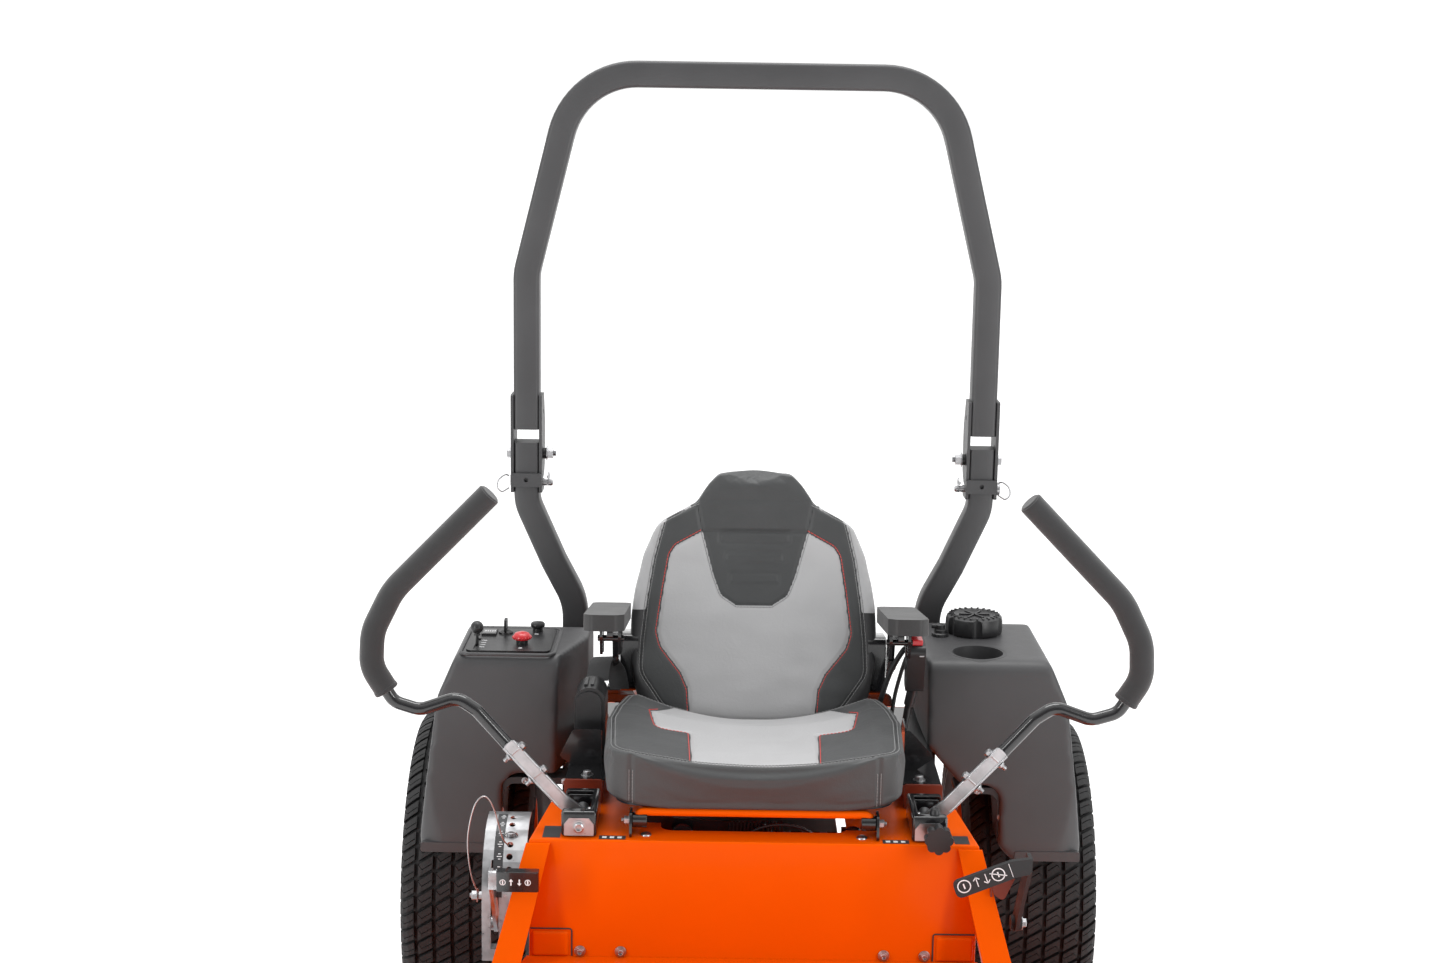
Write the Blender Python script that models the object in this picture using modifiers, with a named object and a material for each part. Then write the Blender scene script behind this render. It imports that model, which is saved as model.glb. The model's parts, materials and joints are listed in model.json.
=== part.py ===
"""Zero-turn riding lawn mower with a folding roll bar, as separate solids in metres, +Z up.

The operator faces -Y, and +X is the operator's left. Every shape is laid out from a machine datum
on the floor under the middle of the rear axle. An empty carries all of it, so that the world
origin ends up in the middle of the machine's footprint.
"""

import math

import bmesh
import bpy
from mathutils import Matrix, Vector

# ---- driving dimensions ----
GAP = 0.0003
DATUM = (0.12, 0.389, 0.0)
WHEELBASE = 1.27
REAR_RADIUS = 0.305
REAR_WIDTH = 0.24
REAR_X = 0.52
CASTER_RADIUS = 0.165
CASTER_WIDTH = 0.16
CASTER_X = 0.46
CASTER_TRAIL = 0.06
RAIL_IN, RAIL_OUT = 0.285, 0.33
RAIL_LOW, RAIL_TOP = 0.34, 0.43
BOX_TOP = 0.63
BOX_FRONT = -0.735
SEAT_UNDER = 0.675
ROPS_TUBE = 0.048
ROPS_WALL = 0.004
ROPS_TOP = 1.826
ROPS_X = 0.4275
ROPS_HINGE_Z = 1.122
ROPS_PIN_Z = 1.066
FENDER_TOP = 0.82
LEVER_X = 0.277
LEVER_Y = -0.66
LEVER_Z = 0.65
SEAT_HINGE = (-0.7, 0.652)
PIVOT_Y = -WHEELBASE - CASTER_TRAIL
BEAM_HALF = 0.025
SPINDLE = 0.0148
RAIL_WALL = 0.005
RAIL_REAR = 0.64
GUARD_TUBE = 0.0125
RIM_RADIUS = 0.1547
FENDER_FRONT = -0.362
ARCH_CLEARANCE = 0.028
DECK_TOP = 0.22
DECK_HALF = 0.69
BLADES = {"left": (0.44, -0.65), "centre": (0.0, -0.77), "right": (-0.44, -0.65)}

# ---- colours: base colour, metallic, roughness ----
FINISHES = {
    "orange_paint": ((1.0, 0.13, 0.0), 0.0, 0.28),
    "charcoal_coat": ((0.07, 0.07, 0.075), 0.0, 0.5),
    "moulded_plastic": ((0.06, 0.06, 0.062), 0.0, 0.55),
    "black_plastic": ((0.012, 0.012, 0.013), 0.0, 0.45),
    "black_paint": ((0.01, 0.01, 0.011), 0.0, 0.2),
    "zinc": ((0.62, 0.62, 0.6), 1.0, 0.35),
    "foam_grip": ((0.02, 0.02, 0.021), 0.0, 0.9),
    "seat_vinyl": ((0.06, 0.06, 0.063), 0.0, 0.55),
    "red_plastic": ((0.55, 0.01, 0.01), 0.0, 0.35),
    "tyre_rubber": ((0.015, 0.015, 0.016), 0.0, 0.8),
    "cast_metal": ((0.3, 0.3, 0.31), 1.0, 0.55),
    "blade_steel": ((0.35, 0.35, 0.36), 1.0, 0.45),
}


# ---- scene ----
def clear_scene():
    for obj in list(bpy.data.objects):
        bpy.data.objects.remove(obj, do_unlink=True)


def new_collection(name):
    made = bpy.data.collections.new(name)
    bpy.context.scene.collection.children.link(made)
    return made


clear_scene()
PARTS = new_collection("riding_lawn_mower")
CUTTERS = new_collection("cutters")


# ---- shape helpers ----
def add_mesh(name, bm):
    """A mesh object with outward normals, shaded smooth except at its corners."""
    bmesh.ops.recalc_face_normals(bm, faces=bm.faces)
    if bm.calc_volume(signed=True) < 0:
        bmesh.ops.reverse_faces(bm, faces=bm.faces)
    mesh = bpy.data.meshes.new(name)
    bm.to_mesh(mesh)
    bm.free()
    mesh.shade_smooth()
    mesh.set_sharp_from_angle(angle=math.radians(35))
    obj = bpy.data.objects.new(name, mesh)
    PARTS.objects.link(obj)
    return obj


def block(name, low, high):
    """A box between two corners."""
    low, high = Vector(low), Vector(high)
    bm = bmesh.new()
    place = Matrix.Translation((low + high) / 2) @ Matrix.Diagonal((*(high - low), 1.0))
    bmesh.ops.create_cube(bm, size=1.0, matrix=place)
    return add_mesh(name, bm)


def rod(name, start, end, radius, radius_end=None, segments=16):
    """A cylinder or cone from one point to another."""
    start, end = Vector(start), Vector(end)
    axis = end - start
    turn = axis.to_track_quat("Z", "Y").to_matrix().to_4x4()
    place = Matrix.Translation((start + end) / 2) @ turn
    bm = bmesh.new()
    bmesh.ops.create_cone(
        bm,
        cap_ends=True,
        segments=segments,
        radius1=radius,
        radius2=radius if radius_end is None else radius_end,
        depth=axis.length,
        matrix=place,
    )
    return add_mesh(name, bm)


def ball(name, centre, radius, segments=12):
    bm = bmesh.new()
    bmesh.ops.create_uvsphere(
        bm,
        u_segments=segments,
        v_segments=segments // 2,
        radius=radius,
        matrix=Matrix.Translation(centre),
    )
    return add_mesh(name, bm)


def rounded(points, radius, steps=3, closed=True):
    """The same outline or path with its corners turned into arcs, of one radius or of one for each point."""
    count = len(points)
    radii = radius if isinstance(radius, (list, tuple)) else [radius] * count
    made = []
    for i, point in enumerate(points):
        corner = Vector(point)
        if radii[i] == 0 or (not closed and i in (0, count - 1)):
            made.append(corner)
            continue
        back = Vector(points[i - 1]) - corner
        ahead = Vector(points[(i + 1) % count]) - corner
        half = back.angle(ahead) / 2
        reach = radii[i] / math.tan(half)
        middle = corner + (back.normalized() + ahead.normalized()).normalized() * radii[i] / math.sin(half)
        start = corner + back.normalized() * reach - middle
        end = corner + ahead.normalized() * reach - middle
        sweep = start.angle(end)
        for k in range(steps + 1):
            t = k / steps
            mix = math.sin((1 - t) * sweep) * start + math.sin(t * sweep) * end
            made.append(middle + mix / math.sin(sweep))
    return made


def curve_mesh(name, curve, place=None):
    """A curve made into a mesh object with its caps welded."""
    guide = bpy.data.objects.new(name + "_guide", curve)
    PARTS.objects.link(guide)
    graph = bpy.context.evaluated_depsgraph_get()
    mesh = bpy.data.meshes.new_from_object(guide.evaluated_get(graph))
    bpy.data.objects.remove(guide, do_unlink=True)
    bm = bmesh.new()
    bm.from_mesh(mesh)
    bmesh.ops.remove_doubles(bm, verts=bm.verts, dist=1e-5)
    if place is not None:
        bm.transform(place)
    bpy.data.meshes.remove(mesh)
    return add_mesh(name, bm)


def add_spline(curve, points, closed):
    spline = curve.splines.new("POLY")
    spline.points.add(len(points) - 1)
    for slot, point in zip(spline.points, points):
        slot.co = (*Vector(point).to_3d(), 1.0)
    spline.use_cyclic_u = closed


PLANES = {
    "X": Matrix(((0, 0, 1, 0), (1, 0, 0, 0), (0, 1, 0, 0), (0, 0, 0, 1))),
    "Y": Matrix(((1, 0, 0, 0), (0, 0, -1, 0), (0, 1, 0, 0), (0, 0, 0, 1))),
    "Z": Matrix.Identity(4),
}


def flat(name, axis, outline, low, high, holes=()):
    """An outline drawn across an axis and extruded from low to high along it.

    The outline's pairs are (Y, Z) across X, (X, Z) across Y and (X, Y) across Z.
    """
    curve = bpy.data.curves.new(name, "CURVE")
    curve.dimensions = "2D"
    curve.fill_mode = "BOTH"
    curve.extrude = (high - low) / 2
    for points in (outline, *holes):
        add_spline(curve, points, closed=True)
    shift = Vector((0, 0, 0))
    shift["XYZ".index(axis)] = (low + high) / 2
    return curve_mesh(name, curve, Matrix.Translation(shift) @ PLANES[axis])


def circle(centre, radius, steps=12):
    """Points round a circle, for a hole or an outline."""
    turns = [2 * math.pi * k / steps for k in range(steps)]
    return [(centre[0] + radius * math.cos(t), centre[1] + radius * math.sin(t)) for t in turns]


def tube(name, points, radius, resolution=2):
    """A round bar along a path."""
    curve = bpy.data.curves.new(name, "CURVE")
    curve.dimensions = "3D"
    curve.bevel_depth = radius
    curve.bevel_resolution = resolution
    curve.use_fill_caps = True
    add_spline(curve, points, closed=False)
    return curve_mesh(name, curve)


def square_tube(name, points, side, wall):
    """A hollow square tube along a path in a plane across Y, with rounded corners and open ends."""
    half = side / 2
    section = bpy.data.curves.new(name + "_section", "CURVE")
    section.dimensions = "2D"
    square = [(-half, -half), (half, -half), (half, half), (-half, half)]
    add_spline(section, rounded(square, side * 0.14, 1), closed=True)
    guide = bpy.data.objects.new(name + "_section", section)
    PARTS.objects.link(guide)
    curve = bpy.data.curves.new(name, "CURVE")
    curve.dimensions = "3D"
    curve.twist_mode = "MINIMUM"
    curve.bevel_mode = "OBJECT"
    curve.bevel_object = guide
    add_spline(curve, points, closed=False)
    obj = curve_mesh(name, curve)
    bpy.data.objects.remove(guide, do_unlink=True)
    shell = obj.modifiers.new("wall", "SOLIDIFY")
    shell.thickness = wall
    shell.offset = -1
    return obj


def turned(name, profile, centre, axis="Z", steps=32, closed=False):
    """A profile of (radius, height) pairs turned about an axis through centre."""
    bm = bmesh.new()
    points = [bm.verts.new((r, 0, h)) for r, h in profile]
    for a, b in zip(points, points[1:]):
        bm.edges.new((a, b))
    if closed:
        bm.edges.new((points[-1], points[0]))
    mesh = bpy.data.meshes.new(name)
    bm.to_mesh(mesh)
    bm.free()
    obj = bpy.data.objects.new(name, mesh)
    PARTS.objects.link(obj)
    screw = obj.modifiers.new("turn", "SCREW")
    screw.steps = steps
    screw.render_steps = steps
    screw.use_merge_vertices = True
    screw.merge_threshold = 0.00005
    screw.use_smooth_shade = True
    obj.location = centre
    turns = {"X": (0, math.pi / 2, 0), "Y": (-math.pi / 2, 0, 0), "Z": (0, 0, 0)}
    obj.rotation_euler = turns[axis]
    return obj


def combine(obj, others, operation):
    """Boolean modifiers on obj, one for each other piece, which becomes a hidden tool."""
    for other in others:
        tool = obj.modifiers.new(operation.lower(), "BOOLEAN")
        tool.operation = operation
        tool.solver = "EXACT"
        tool.object = other
        PARTS.objects.unlink(other)
        CUTTERS.objects.link(other)
        other.hide_render = True
        other.display_type = "WIRE"
        other.name = f"{obj.name}_{operation.lower()}_{len(obj.modifiers)}"
    return obj


def join(obj, *others):
    return combine(obj, others, "UNION")


def cut(obj, *others):
    return combine(obj, others, "DIFFERENCE")


def trim(obj, *others):
    return combine(obj, others, "INTERSECT")


def soften(obj, width, segments=2, angle=40):
    """Rounded edges, kept on the modifier stack."""
    edges = obj.modifiers.new("edges", "BEVEL")
    edges.width = width
    edges.segments = segments
    edges.limit_method = "ANGLE"
    edges.angle_limit = math.radians(angle)
    return obj


def turn_at(obj, point):
    """Moves the object's origin onto its joint, leaving the shape where it is."""
    shift = Vector(point) - obj.location
    obj.data.transform(obj.matrix_basis.inverted() @ Matrix.Translation(-shift) @ obj.matrix_basis)
    obj.location = point
    return obj


def paint(obj, finish):
    colour, metallic, roughness = FINISHES[finish]
    material = bpy.data.materials.new(finish + "_" + obj.name)
    material.use_nodes = True
    material.diffuse_color = (*colour, 1.0)
    shader = material.node_tree.nodes["Principled BSDF"]
    shader.inputs["Base Color"].default_value = (*colour, 1.0)
    shader.inputs["Metallic"].default_value = metallic
    shader.inputs["Roughness"].default_value = roughness
    obj.data.materials.clear()
    obj.data.materials.append(material)
    return obj


def mirrored(points, side):
    """Points with their X turned to one side of the machine."""
    return [(side * point[0], *point[1:]) for point in points]


def span(side, near, far):
    """(lowest, highest) X of a stretch between two distances from the middle."""
    return (near, far) if side > 0 else (-far, -near)


SIDES = (("left", 1), ("right", -1))


# ---- frame ----
def frame_rails():
    front = PIVOT_Y + BEAM_HALF + GAP
    for name, side in SIDES:
        low, high = span(side, RAIL_IN, RAIL_OUT)
        rail = block(f"{name}_frame_rail", (low, front, RAIL_LOW), (high, RAIL_REAR, RAIL_TOP))
        soften(rail, 0.006)
        inner_low = (low + RAIL_WALL, front - 0.1, RAIL_LOW + RAIL_WALL)
        inner_high = (high - RAIL_WALL, RAIL_REAR + 0.1, RAIL_TOP - RAIL_WALL)
        hollow = block("hollow", inner_low, inner_high)
        paint(cut(rail, hollow), "orange_paint")


def front_axle_beam():
    low = (-CASTER_X, PIVOT_Y - BEAM_HALF, 0.362)
    high = (CASTER_X, PIVOT_Y + BEAM_HALF, 0.424)
    beam = block("front_axle_beam", low, high)
    soften(beam, 0.006)
    for side in (-1, 1):
        x = side * CASTER_X
        join(beam, rod("barrel", (x, PIVOT_Y, 0.35), (x, PIVOT_Y, 0.47), 0.034))
    for side in (-1, 1):
        x = side * CASTER_X
        cut(beam, rod("bore", (x, PIVOT_Y, 0.3), (x, PIVOT_Y, 0.52), SPINDLE + 0.0007))
    paint(beam, "orange_paint")


def engine_plate():
    outline = rounded([(-RAIL_OUT, 0.06), (RAIL_OUT, 0.06), (RAIL_OUT, 0.6), (-RAIL_OUT, 0.6)], 0.02)
    holes = [circle((x, y), 0.006) for x in (-0.12, 0.12) for y in (0.16, 0.4)]
    paint(flat("engine_plate", "Z", outline, RAIL_TOP + GAP, RAIL_TOP + 0.006, holes), "orange_paint")


def rear_guard():
    """A hitch plate across the rails' ends, with a round bar along its top."""
    top = 0.475
    outline = [(-RAIL_OUT, RAIL_LOW), (RAIL_OUT, RAIL_LOW), (RAIL_OUT, top), (-RAIL_OUT, top)]
    face = RAIL_REAR + GAP
    plate = flat("rear_guard", "Y", rounded(outline, 0.015), face, face + 0.008, [circle((0, 0.38), 0.0105)])
    middle = face + 0.004
    ends = [(-0.31, middle, top), (0.31, middle, top)]
    paint(join(plate, tube("bar", ends, GUARD_TUBE)), "orange_paint")


def seat_box():
    """The sheet metal box under the seat: its top, front and sides, with tabs for the seat's hinge."""
    front_x, mid_x, rear_x = 0.357, 0.338, 0.3
    outline = [
        (-front_x, BOX_FRONT), (front_x, BOX_FRONT), (mid_x, -0.56), (rear_x, -0.45),
        (rear_x, -0.1), (-rear_x, -0.1), (-rear_x, -0.45), (-mid_x, -0.56),
    ]
    body = flat("seat_box", "Z", outline, RAIL_TOP + GAP, BOX_TOP)
    soften(body, 0.004)
    inner = [
        (-front_x + 0.005, BOX_FRONT + 0.004), (front_x - 0.005, BOX_FRONT + 0.004), (mid_x - 0.004, -0.558),
        (rear_x - 0.004, -0.449), (rear_x - 0.004, 0.0), (-rear_x + 0.004, 0.0),
        (-rear_x + 0.004, -0.449), (-mid_x + 0.004, -0.558),
    ]
    cut(body, flat("inside", "Z", inner, 0.3, BOX_TOP - 0.004))
    for side in (-1, 1):
        low, high = span(side, 0.255, 0.299)
        rail = block("seat_rail", (low, -0.56, BOX_TOP - 0.002), (high, -0.104, 0.668))
        base = BOX_TOP - 0.002
        ends = [(SEAT_HINGE[0] - 0.018, base), (SEAT_HINGE[0] + 0.018, base)]
        ends += [(SEAT_HINGE[0] + 0.018, 0.669), (SEAT_HINGE[0] - 0.018, 0.669)]
        hole = circle(SEAT_HINGE, 0.0055)
        tab = flat("tab", "X", rounded(ends, [0, 0, 0.01, 0.01]), *span(side, 0.1943, 0.1983), [hole])
        join(body, rail, tab)
    opening = rounded([(-0.15, -0.685), (0.15, -0.685), (0.15, -0.2), (-0.15, -0.2)], 0.02)
    cut(body, flat("opening", "Z", opening, 0.6, 0.65))
    paint(body, "orange_paint")


def leg_well():
    """The footwell: a floor between the rails' front ends and the slanting flange at each side."""
    front = -WHEELBASE
    rear = BOX_FRONT - GAP
    half = [(0.34, front), (0.4, -0.9), (0.36, rear)]
    outline = [(-x, y) for x, y in reversed(half)] + half
    floor = flat(
        "leg_well", "Z", rounded(outline, [0, 0.05, 0.03, 0.03, 0.05, 0]), RAIL_TOP + GAP, RAIL_TOP + 0.005
    )
    lip = block("lip", (-RAIL_OUT, front, RAIL_TOP + 0.001), (RAIL_OUT, front + 0.004, RAIL_TOP + 0.03))
    join(floor, lip)
    for side in (-1, 1):
        face = [(0.3225, 0.6245), (0.3605, 0.6245), (0.4125, 0.434), (0.3665, 0.434)]
        wedge = flat("wedge", "Y", mirrored(face, side), -0.83, rear)
        slope = [(rear, 0.63), (-0.7375, 0.63), (-0.81, 0.432), (rear, 0.432)]
        trim(wedge, flat("slope", "X", slope, *span(side, 0.2, 0.5)))
        behind = [(0.3265, 0.63), (0.45, 0.63), (0.45, 0.42), (0.374, 0.42)]
        space = flat("space", "Y", mirrored(behind, side), -0.83, BOX_FRONT + 0.02)
        back = [(BOX_FRONT + 0.01, 0.622), (-0.7365, 0.615), (-0.8055, 0.427), (BOX_FRONT + 0.01, 0.427)]
        trim(space, flat("back", "X", back, *span(side, 0.2, 0.5)))
        cut(wedge, space)
        join(floor, wedge)
    paint(floor, "orange_paint")


# ---- fender, tank and console ----
def fender_shape(name, side, front_view, inner_front, crest):
    """A moulded body over a rear tyre: three crossed outlines less the wheel arch. Its top is level to crest."""
    shape = flat(name, "Y", mirrored(front_view, side), FENDER_FRONT, 0.24)
    plan = [
        (inner_front, FENDER_FRONT), (0.6, FENDER_FRONT), (0.6, 0.24), (0.37, 0.24),
        (0.37, -0.035), (0.3, -0.035), (0.3, -0.2),
    ]
    plan = rounded(plan, [0.014, 0.06, 0.08, 0.01, 0.004, 0.01, 0])
    trim(shape, flat("plan", "Z", mirrored(plan, side), 0.4, 0.9))
    profile = [
        (FENDER_FRONT, 0.44), (FENDER_FRONT, 0.5), (-0.338, FENDER_TOP), (crest, FENDER_TOP),
        (0.245, 0.72), (0.245, 0.44),
    ]
    profile = rounded(profile, [0, 0, 0.022, 0.12, 0.05, 0])
    trim(shape, flat("profile", "X", profile, *span(side, 0.2, 0.7)))
    start = (side * 0.2, 0, REAR_RADIUS)
    end = (side * 0.8, 0, REAR_RADIUS)
    return cut(shape, rod("arch", start, end, REAR_RADIUS + ARCH_CLEARANCE, segments=40))


FENDER_OUTER = [
    (0.52, FENDER_TOP + 0.005), (0.556, 0.742), (0.587, 0.49), (0.587, 0.465), (0.462, 0.465), (0.44, 0.49),
]


PTO = (-0.412, -0.27)
CHOKE = (-0.392, -0.18)
KEY = (-0.448, -0.2)
PANEL_HOLES = ((PTO, 0.0065), (CHOKE, 0.0055), (KEY, 0.009))
THROTTLE_SLOT = ((-0.4945, -0.31), (-0.4875, -0.24))


def right_fender_console():
    """The console is a shell, open underneath into the wheel arch."""
    outline = [(0.29, FENDER_TOP + 0.005), *FENDER_OUTER, (0.44, 0.608), (0.29, 0.608)]
    radii = [0, 0.03, 0.08, 0.01, 0.014, 0.014, 0.01, 0.03, 0]
    body = fender_shape("right_fender_console", -1, rounded(outline, radii), 0.35, -0.14)
    ceiling = FENDER_TOP - 0.008
    inside = [(0.36, 0.5), (0.36, ceiling), (0.51, ceiling), (0.548, 0.735), (0.575, 0.52), (0.575, 0.5)]
    hollow = flat("hollow", "Y", mirrored(rounded(inside, [0, 0.01, 0.02, 0.05, 0, 0]), -1), -0.325, 0.2)
    head = [(-0.33, 0.56), (-0.322, ceiling), (-0.155, ceiling), (0.2, 0.715), (0.2, 0.56)]
    trim(hollow, flat("head", "X", head, -0.7, -0.2))
    cut(body, hollow)
    for (x, y), radius in PANEL_HOLES:
        cut(body, rod("hole", (x, y, FENDER_TOP - 0.03), (x, y, FENDER_TOP + 0.03), radius, segments=12))
    (left, front), (right, rear) = THROTTLE_SLOT
    cut(body, block("slot", (left, front, FENDER_TOP - 0.03), (right, rear, FENDER_TOP + 0.03)))
    paint(body, "moulded_plastic")


def control_panel():
    outline = rounded([(-0.507, -0.322), (-0.358, -0.322), (-0.358, -0.165), (-0.507, -0.165)], 0.012)
    (left, front), (right, rear) = THROTTLE_SLOT
    slot = [(left, front), (right, front), (right, rear), (left, rear)]
    holes = [slot] + [circle(centre, radius) for centre, radius in PANEL_HOLES]
    panel = flat("control_panel", "Z", outline, FENDER_TOP + GAP, FENDER_TOP + 0.004, holes)
    meter = block("meter", (-0.49, -0.222, FENDER_TOP + 0.003), (-0.464, -0.182, FENDER_TOP + 0.008))
    paint(join(panel, meter), "black_plastic")


def console_controls():
    top = FENDER_TOP
    pivot = Vector((-0.491, -0.275, 0.775))
    throttle = rod("throttle_lever", pivot, pivot + Vector((0, -0.005, 0.073)), 0.0028, segments=12)
    knob = ball("knob", pivot + Vector((0, -0.005, 0.08)), 0.0115)
    half_hub = Vector((0.005, 0, 0))
    hub = rod("hub", pivot - half_hub, pivot + half_hub, 0.008)
    paint(turn_at(join(throttle, knob, hub), pivot), "black_plastic")
    head = [(0, 0.025), (0.012, 0.0225), (0.0165, 0.016), (0.0155, 0.0125), (0.006, 0.01)]
    stem = [(0.006, -0.03), (0, -0.03)]
    paint(turned("pto_knob", head + stem, (*PTO, top), steps=20), "red_plastic")
    head = [(0, 0.021), (0.011, 0.02), (0.013, 0.015), (0.012, 0.011), (0.0045, 0.009)]
    stem = [(0.0045, -0.03), (0, -0.03)]
    paint(turned("choke_knob", head + stem, (*CHOKE, top), steps=20), "black_plastic")
    x, y = KEY
    barrel = rod("ignition_key", (x, y, top - 0.03), (x, y, top + 0.008), 0.008)
    blade = block("blade", (x - 0.0015, y - 0.014, top + 0.007), (x + 0.0015, y + 0.014, top + 0.03))
    paint(turn_at(join(barrel, blade), (x, y, top)), "black_plastic")


CUP = (0.401, -0.272)
FILLER = (0.41, -0.13)


def left_fuel_tank():
    """The tank is hollow and opens at its filler neck. Its top holds a cup recess."""
    outline = [(0.28, FENDER_TOP + 0.005), *FENDER_OUTER, (0.44, 0.6), (0.37, 0.6), (0.3, 0.68)]
    radii = [0, 0.03, 0.08, 0.01, 0.014, 0.014, 0.01, 0.03, 0.03, 0.03]
    body = fender_shape("left_fuel_tank", 1, rounded(outline, radii), 0.31, -0.06)
    join(body, rod("neck", (*FILLER, FENDER_TOP - 0.03), (*FILLER, FENDER_TOP + 0.006), 0.036))
    inside = [(0.39, 0.66), (0.39, 0.806), (0.5, 0.806), (0.54, 0.73), (0.55, 0.66)]
    fuel = flat("fuel", "Y", rounded(inside, 0.01), -0.2, 0.19)
    slope = [(-0.2, 0.65), (-0.2, 0.806), (-0.07, 0.806), (0.19, 0.7), (0.19, 0.65)]
    trim(fuel, flat("slope", "X", slope, 0.3, 0.6))
    cut(body, fuel)
    cut(body, rod("bore", (*FILLER, 0.78), (*FILLER, 0.85), 0.028))
    cut(body, rod("cup", (*CUP, 0.75), (*CUP, 0.85), 0.041, 0.0465, segments=32))
    paint(body, "moulded_plastic")


def fuel_cap():
    profile = [
        (0, 0.037), (0.046, 0.036), (0.051, 0.031), (0.0525, 0.012), (0.05, 0.002),
        (0.0365, 0.0005), (0.0365, 0.014), (0, 0.014),
    ]
    centre = (*FILLER, FENDER_TOP)
    cap = turned("fuel_cap", profile, centre, steps=32)
    for k in range(6):
        turn = math.radians(60 * k + 30)
        x = FILLER[0] + 0.058 * math.cos(turn)
        y = FILLER[1] + 0.058 * math.sin(turn)
        cut(cap, rod("grip", (x, y, FENDER_TOP - 0.02), (x, y, FENDER_TOP + 0.06), 0.011, segments=12))
    paint(cap, "black_plastic")


# ---- roll bar ----
def rops_posts():
    low_x = 0.336
    path = [(low_x, 0, RAIL_TOP + GAP), (low_x, 0, 0.838), (0.377, 0, 0.916)]
    path += [(ROPS_X, 0, 1.03), (ROPS_X, 0, 1.145)]
    for name, side in SIDES:
        points = rounded(mirrored(path, side), [0, 0.12, 0.0, 0.08, 0], 2, closed=False)
        post = square_tube(f"{name}_rops_post", points, ROPS_TUBE - 0.001, ROPS_WALL)
        x = side * ROPS_X
        for z, radius in ((ROPS_HINGE_Z, 0.0067), (ROPS_PIN_Z, 0.0069)):
            cut(post, rod("hole", (x - 0.04, 0, z), (x + 0.04, 0, z), radius))
        low, high = span(side, 0.312, 0.36)
        foot = block("foot", (low, -0.024, RAIL_TOP + 0.0004), (high, 0.024, RAIL_TOP + 0.006))
        paint(join(post, foot), "charcoal_coat")


def pin_slot():
    """(Y, Z) outline of the slot that the lock pin leaves a hinge plate by as the hoop folds back."""
    reach = ROPS_HINGE_Z - ROPS_PIN_Z
    turns = [math.radians(10 * k) for k in range(9)]
    inner = [((reach - 0.0078) * math.sin(t), ROPS_HINGE_Z - (reach - 0.0078) * math.cos(t)) for t in turns]
    outer = [((reach + 0.0078) * math.sin(t), ROPS_HINGE_Z - (reach + 0.0078) * math.cos(t)) for t in turns]
    return inner + outer[::-1]


def rops_hoop():
    """The folding upper hoop, with a pair of hinge plates and a stop strap on each leg."""
    leg_low = 1.17
    half = [(ROPS_X, 0, leg_low), (ROPS_X, 0, 1.462), (0.3365, 0, ROPS_TOP)]
    path = half + [(-x, y, z) for x, y, z in reversed(half)]
    points = rounded(path, [0, 0.1, 0.143, 0.143, 0.1, 0], 4, closed=False)
    hoop = square_tube("rops_hoop", points, ROPS_TUBE, ROPS_WALL)
    outline = [
        (-0.0245, 1.05), (0.024, 1.05), (0.04, 1.08), (0.047, 1.15), (0.047, 1.18), (0.024, 1.235),
        (-0.0245, 1.235),
    ]
    outline = rounded(outline, [0, 0.008, 0, 0, 0, 0, 0])
    face = ROPS_TUBE / 2
    for side in (-1, 1):
        centre = side * ROPS_X
        for low in (centre - face + 0.0002 - 0.0055, centre + face - 0.0002):
            join(hoop, flat("ear", "X", outline, low, low + 0.0055, [circle((0.012, 1.2), 0.005, 8)]))
        reach = face + 0.0052
        join(hoop, block("strap", (centre - reach, -0.031, 1.062), (centre + reach, -0.02445, 1.088)))
        cut(hoop, rod("pivot", (centre - 0.05, 0, ROPS_HINGE_Z), (centre + 0.05, 0, ROPS_HINGE_Z), 0.0067))
        cut(hoop, rod("seat", (centre - 0.05, 0, ROPS_PIN_Z), (centre + 0.05, 0, ROPS_PIN_Z), 0.0069))
        cut(hoop, flat("slot", "X", pin_slot(), centre - 0.05, centre + 0.05))
    paint(turn_at(hoop, (0, 0, ROPS_HINGE_Z)), "charcoal_coat")


def lock_pins():
    """A pin through each hinge, with its head on the outer side."""
    for name, side in SIDES:
        outer = ROPS_X + ROPS_TUBE / 2 + 0.0065
        start = (side * (outer + 0.001), 0, ROPS_PIN_Z)
        end = (side * (ROPS_X - 0.045), 0, ROPS_PIN_Z)
        pin = rod(f"{name}_lock_pin", start, end, 0.0063)
        head = rod("head", (side * outer, 0, ROPS_PIN_Z), (side * (outer + 0.007), 0, ROPS_PIN_Z), 0.0115)
        paint(turn_at(join(pin, head), (side * ROPS_X, 0, ROPS_PIN_Z)), "zinc")


# ---- engine and drive ----
def engine():
    base = RAIL_TOP + 0.006 + GAP
    crankcase = block("engine_block", (-0.15, 0.13, base), (0.15, 0.42, 0.6))
    soften(crankcase, 0.015)
    fan_housing = rod("fan_housing", (0, 0.27, 0.58), (0, 0.27, 0.7), 0.165, 0.15, segments=32)
    join(crankcase, fan_housing)
    for side in (-1, 1):
        start = (side * 0.09, 0.4, 0.53)
        end = (side * 0.2, 0.55, 0.53)
        join(crankcase, rod("cylinder", start, end, 0.062))
    paint(crankcase, "cast_metal")
    cleaner = rod("air_cleaner", (-0.16, 0.27, 0.765), (0.16, 0.27, 0.765), 0.0645)
    soften(cleaner, 0.006)
    paint(cleaner, "black_plastic")
    silencer = rod("muffler", (-0.17, 0.535, 0.68), (0.17, 0.535, 0.68), 0.055)
    soften(silencer, 0.008)
    join(silencer, tube("outlet", [(0.1, 0.55, 0.68), (0.1, 0.61, 0.68), (0.1, 0.63, 0.66)], 0.014))
    for x in (-0.14, 0.14):
        join(silencer, rod("stub", (x, 0.52, 0.592 + GAP), (x, 0.53, 0.67), 0.014))
    paint(silencer, "black_paint")


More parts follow.
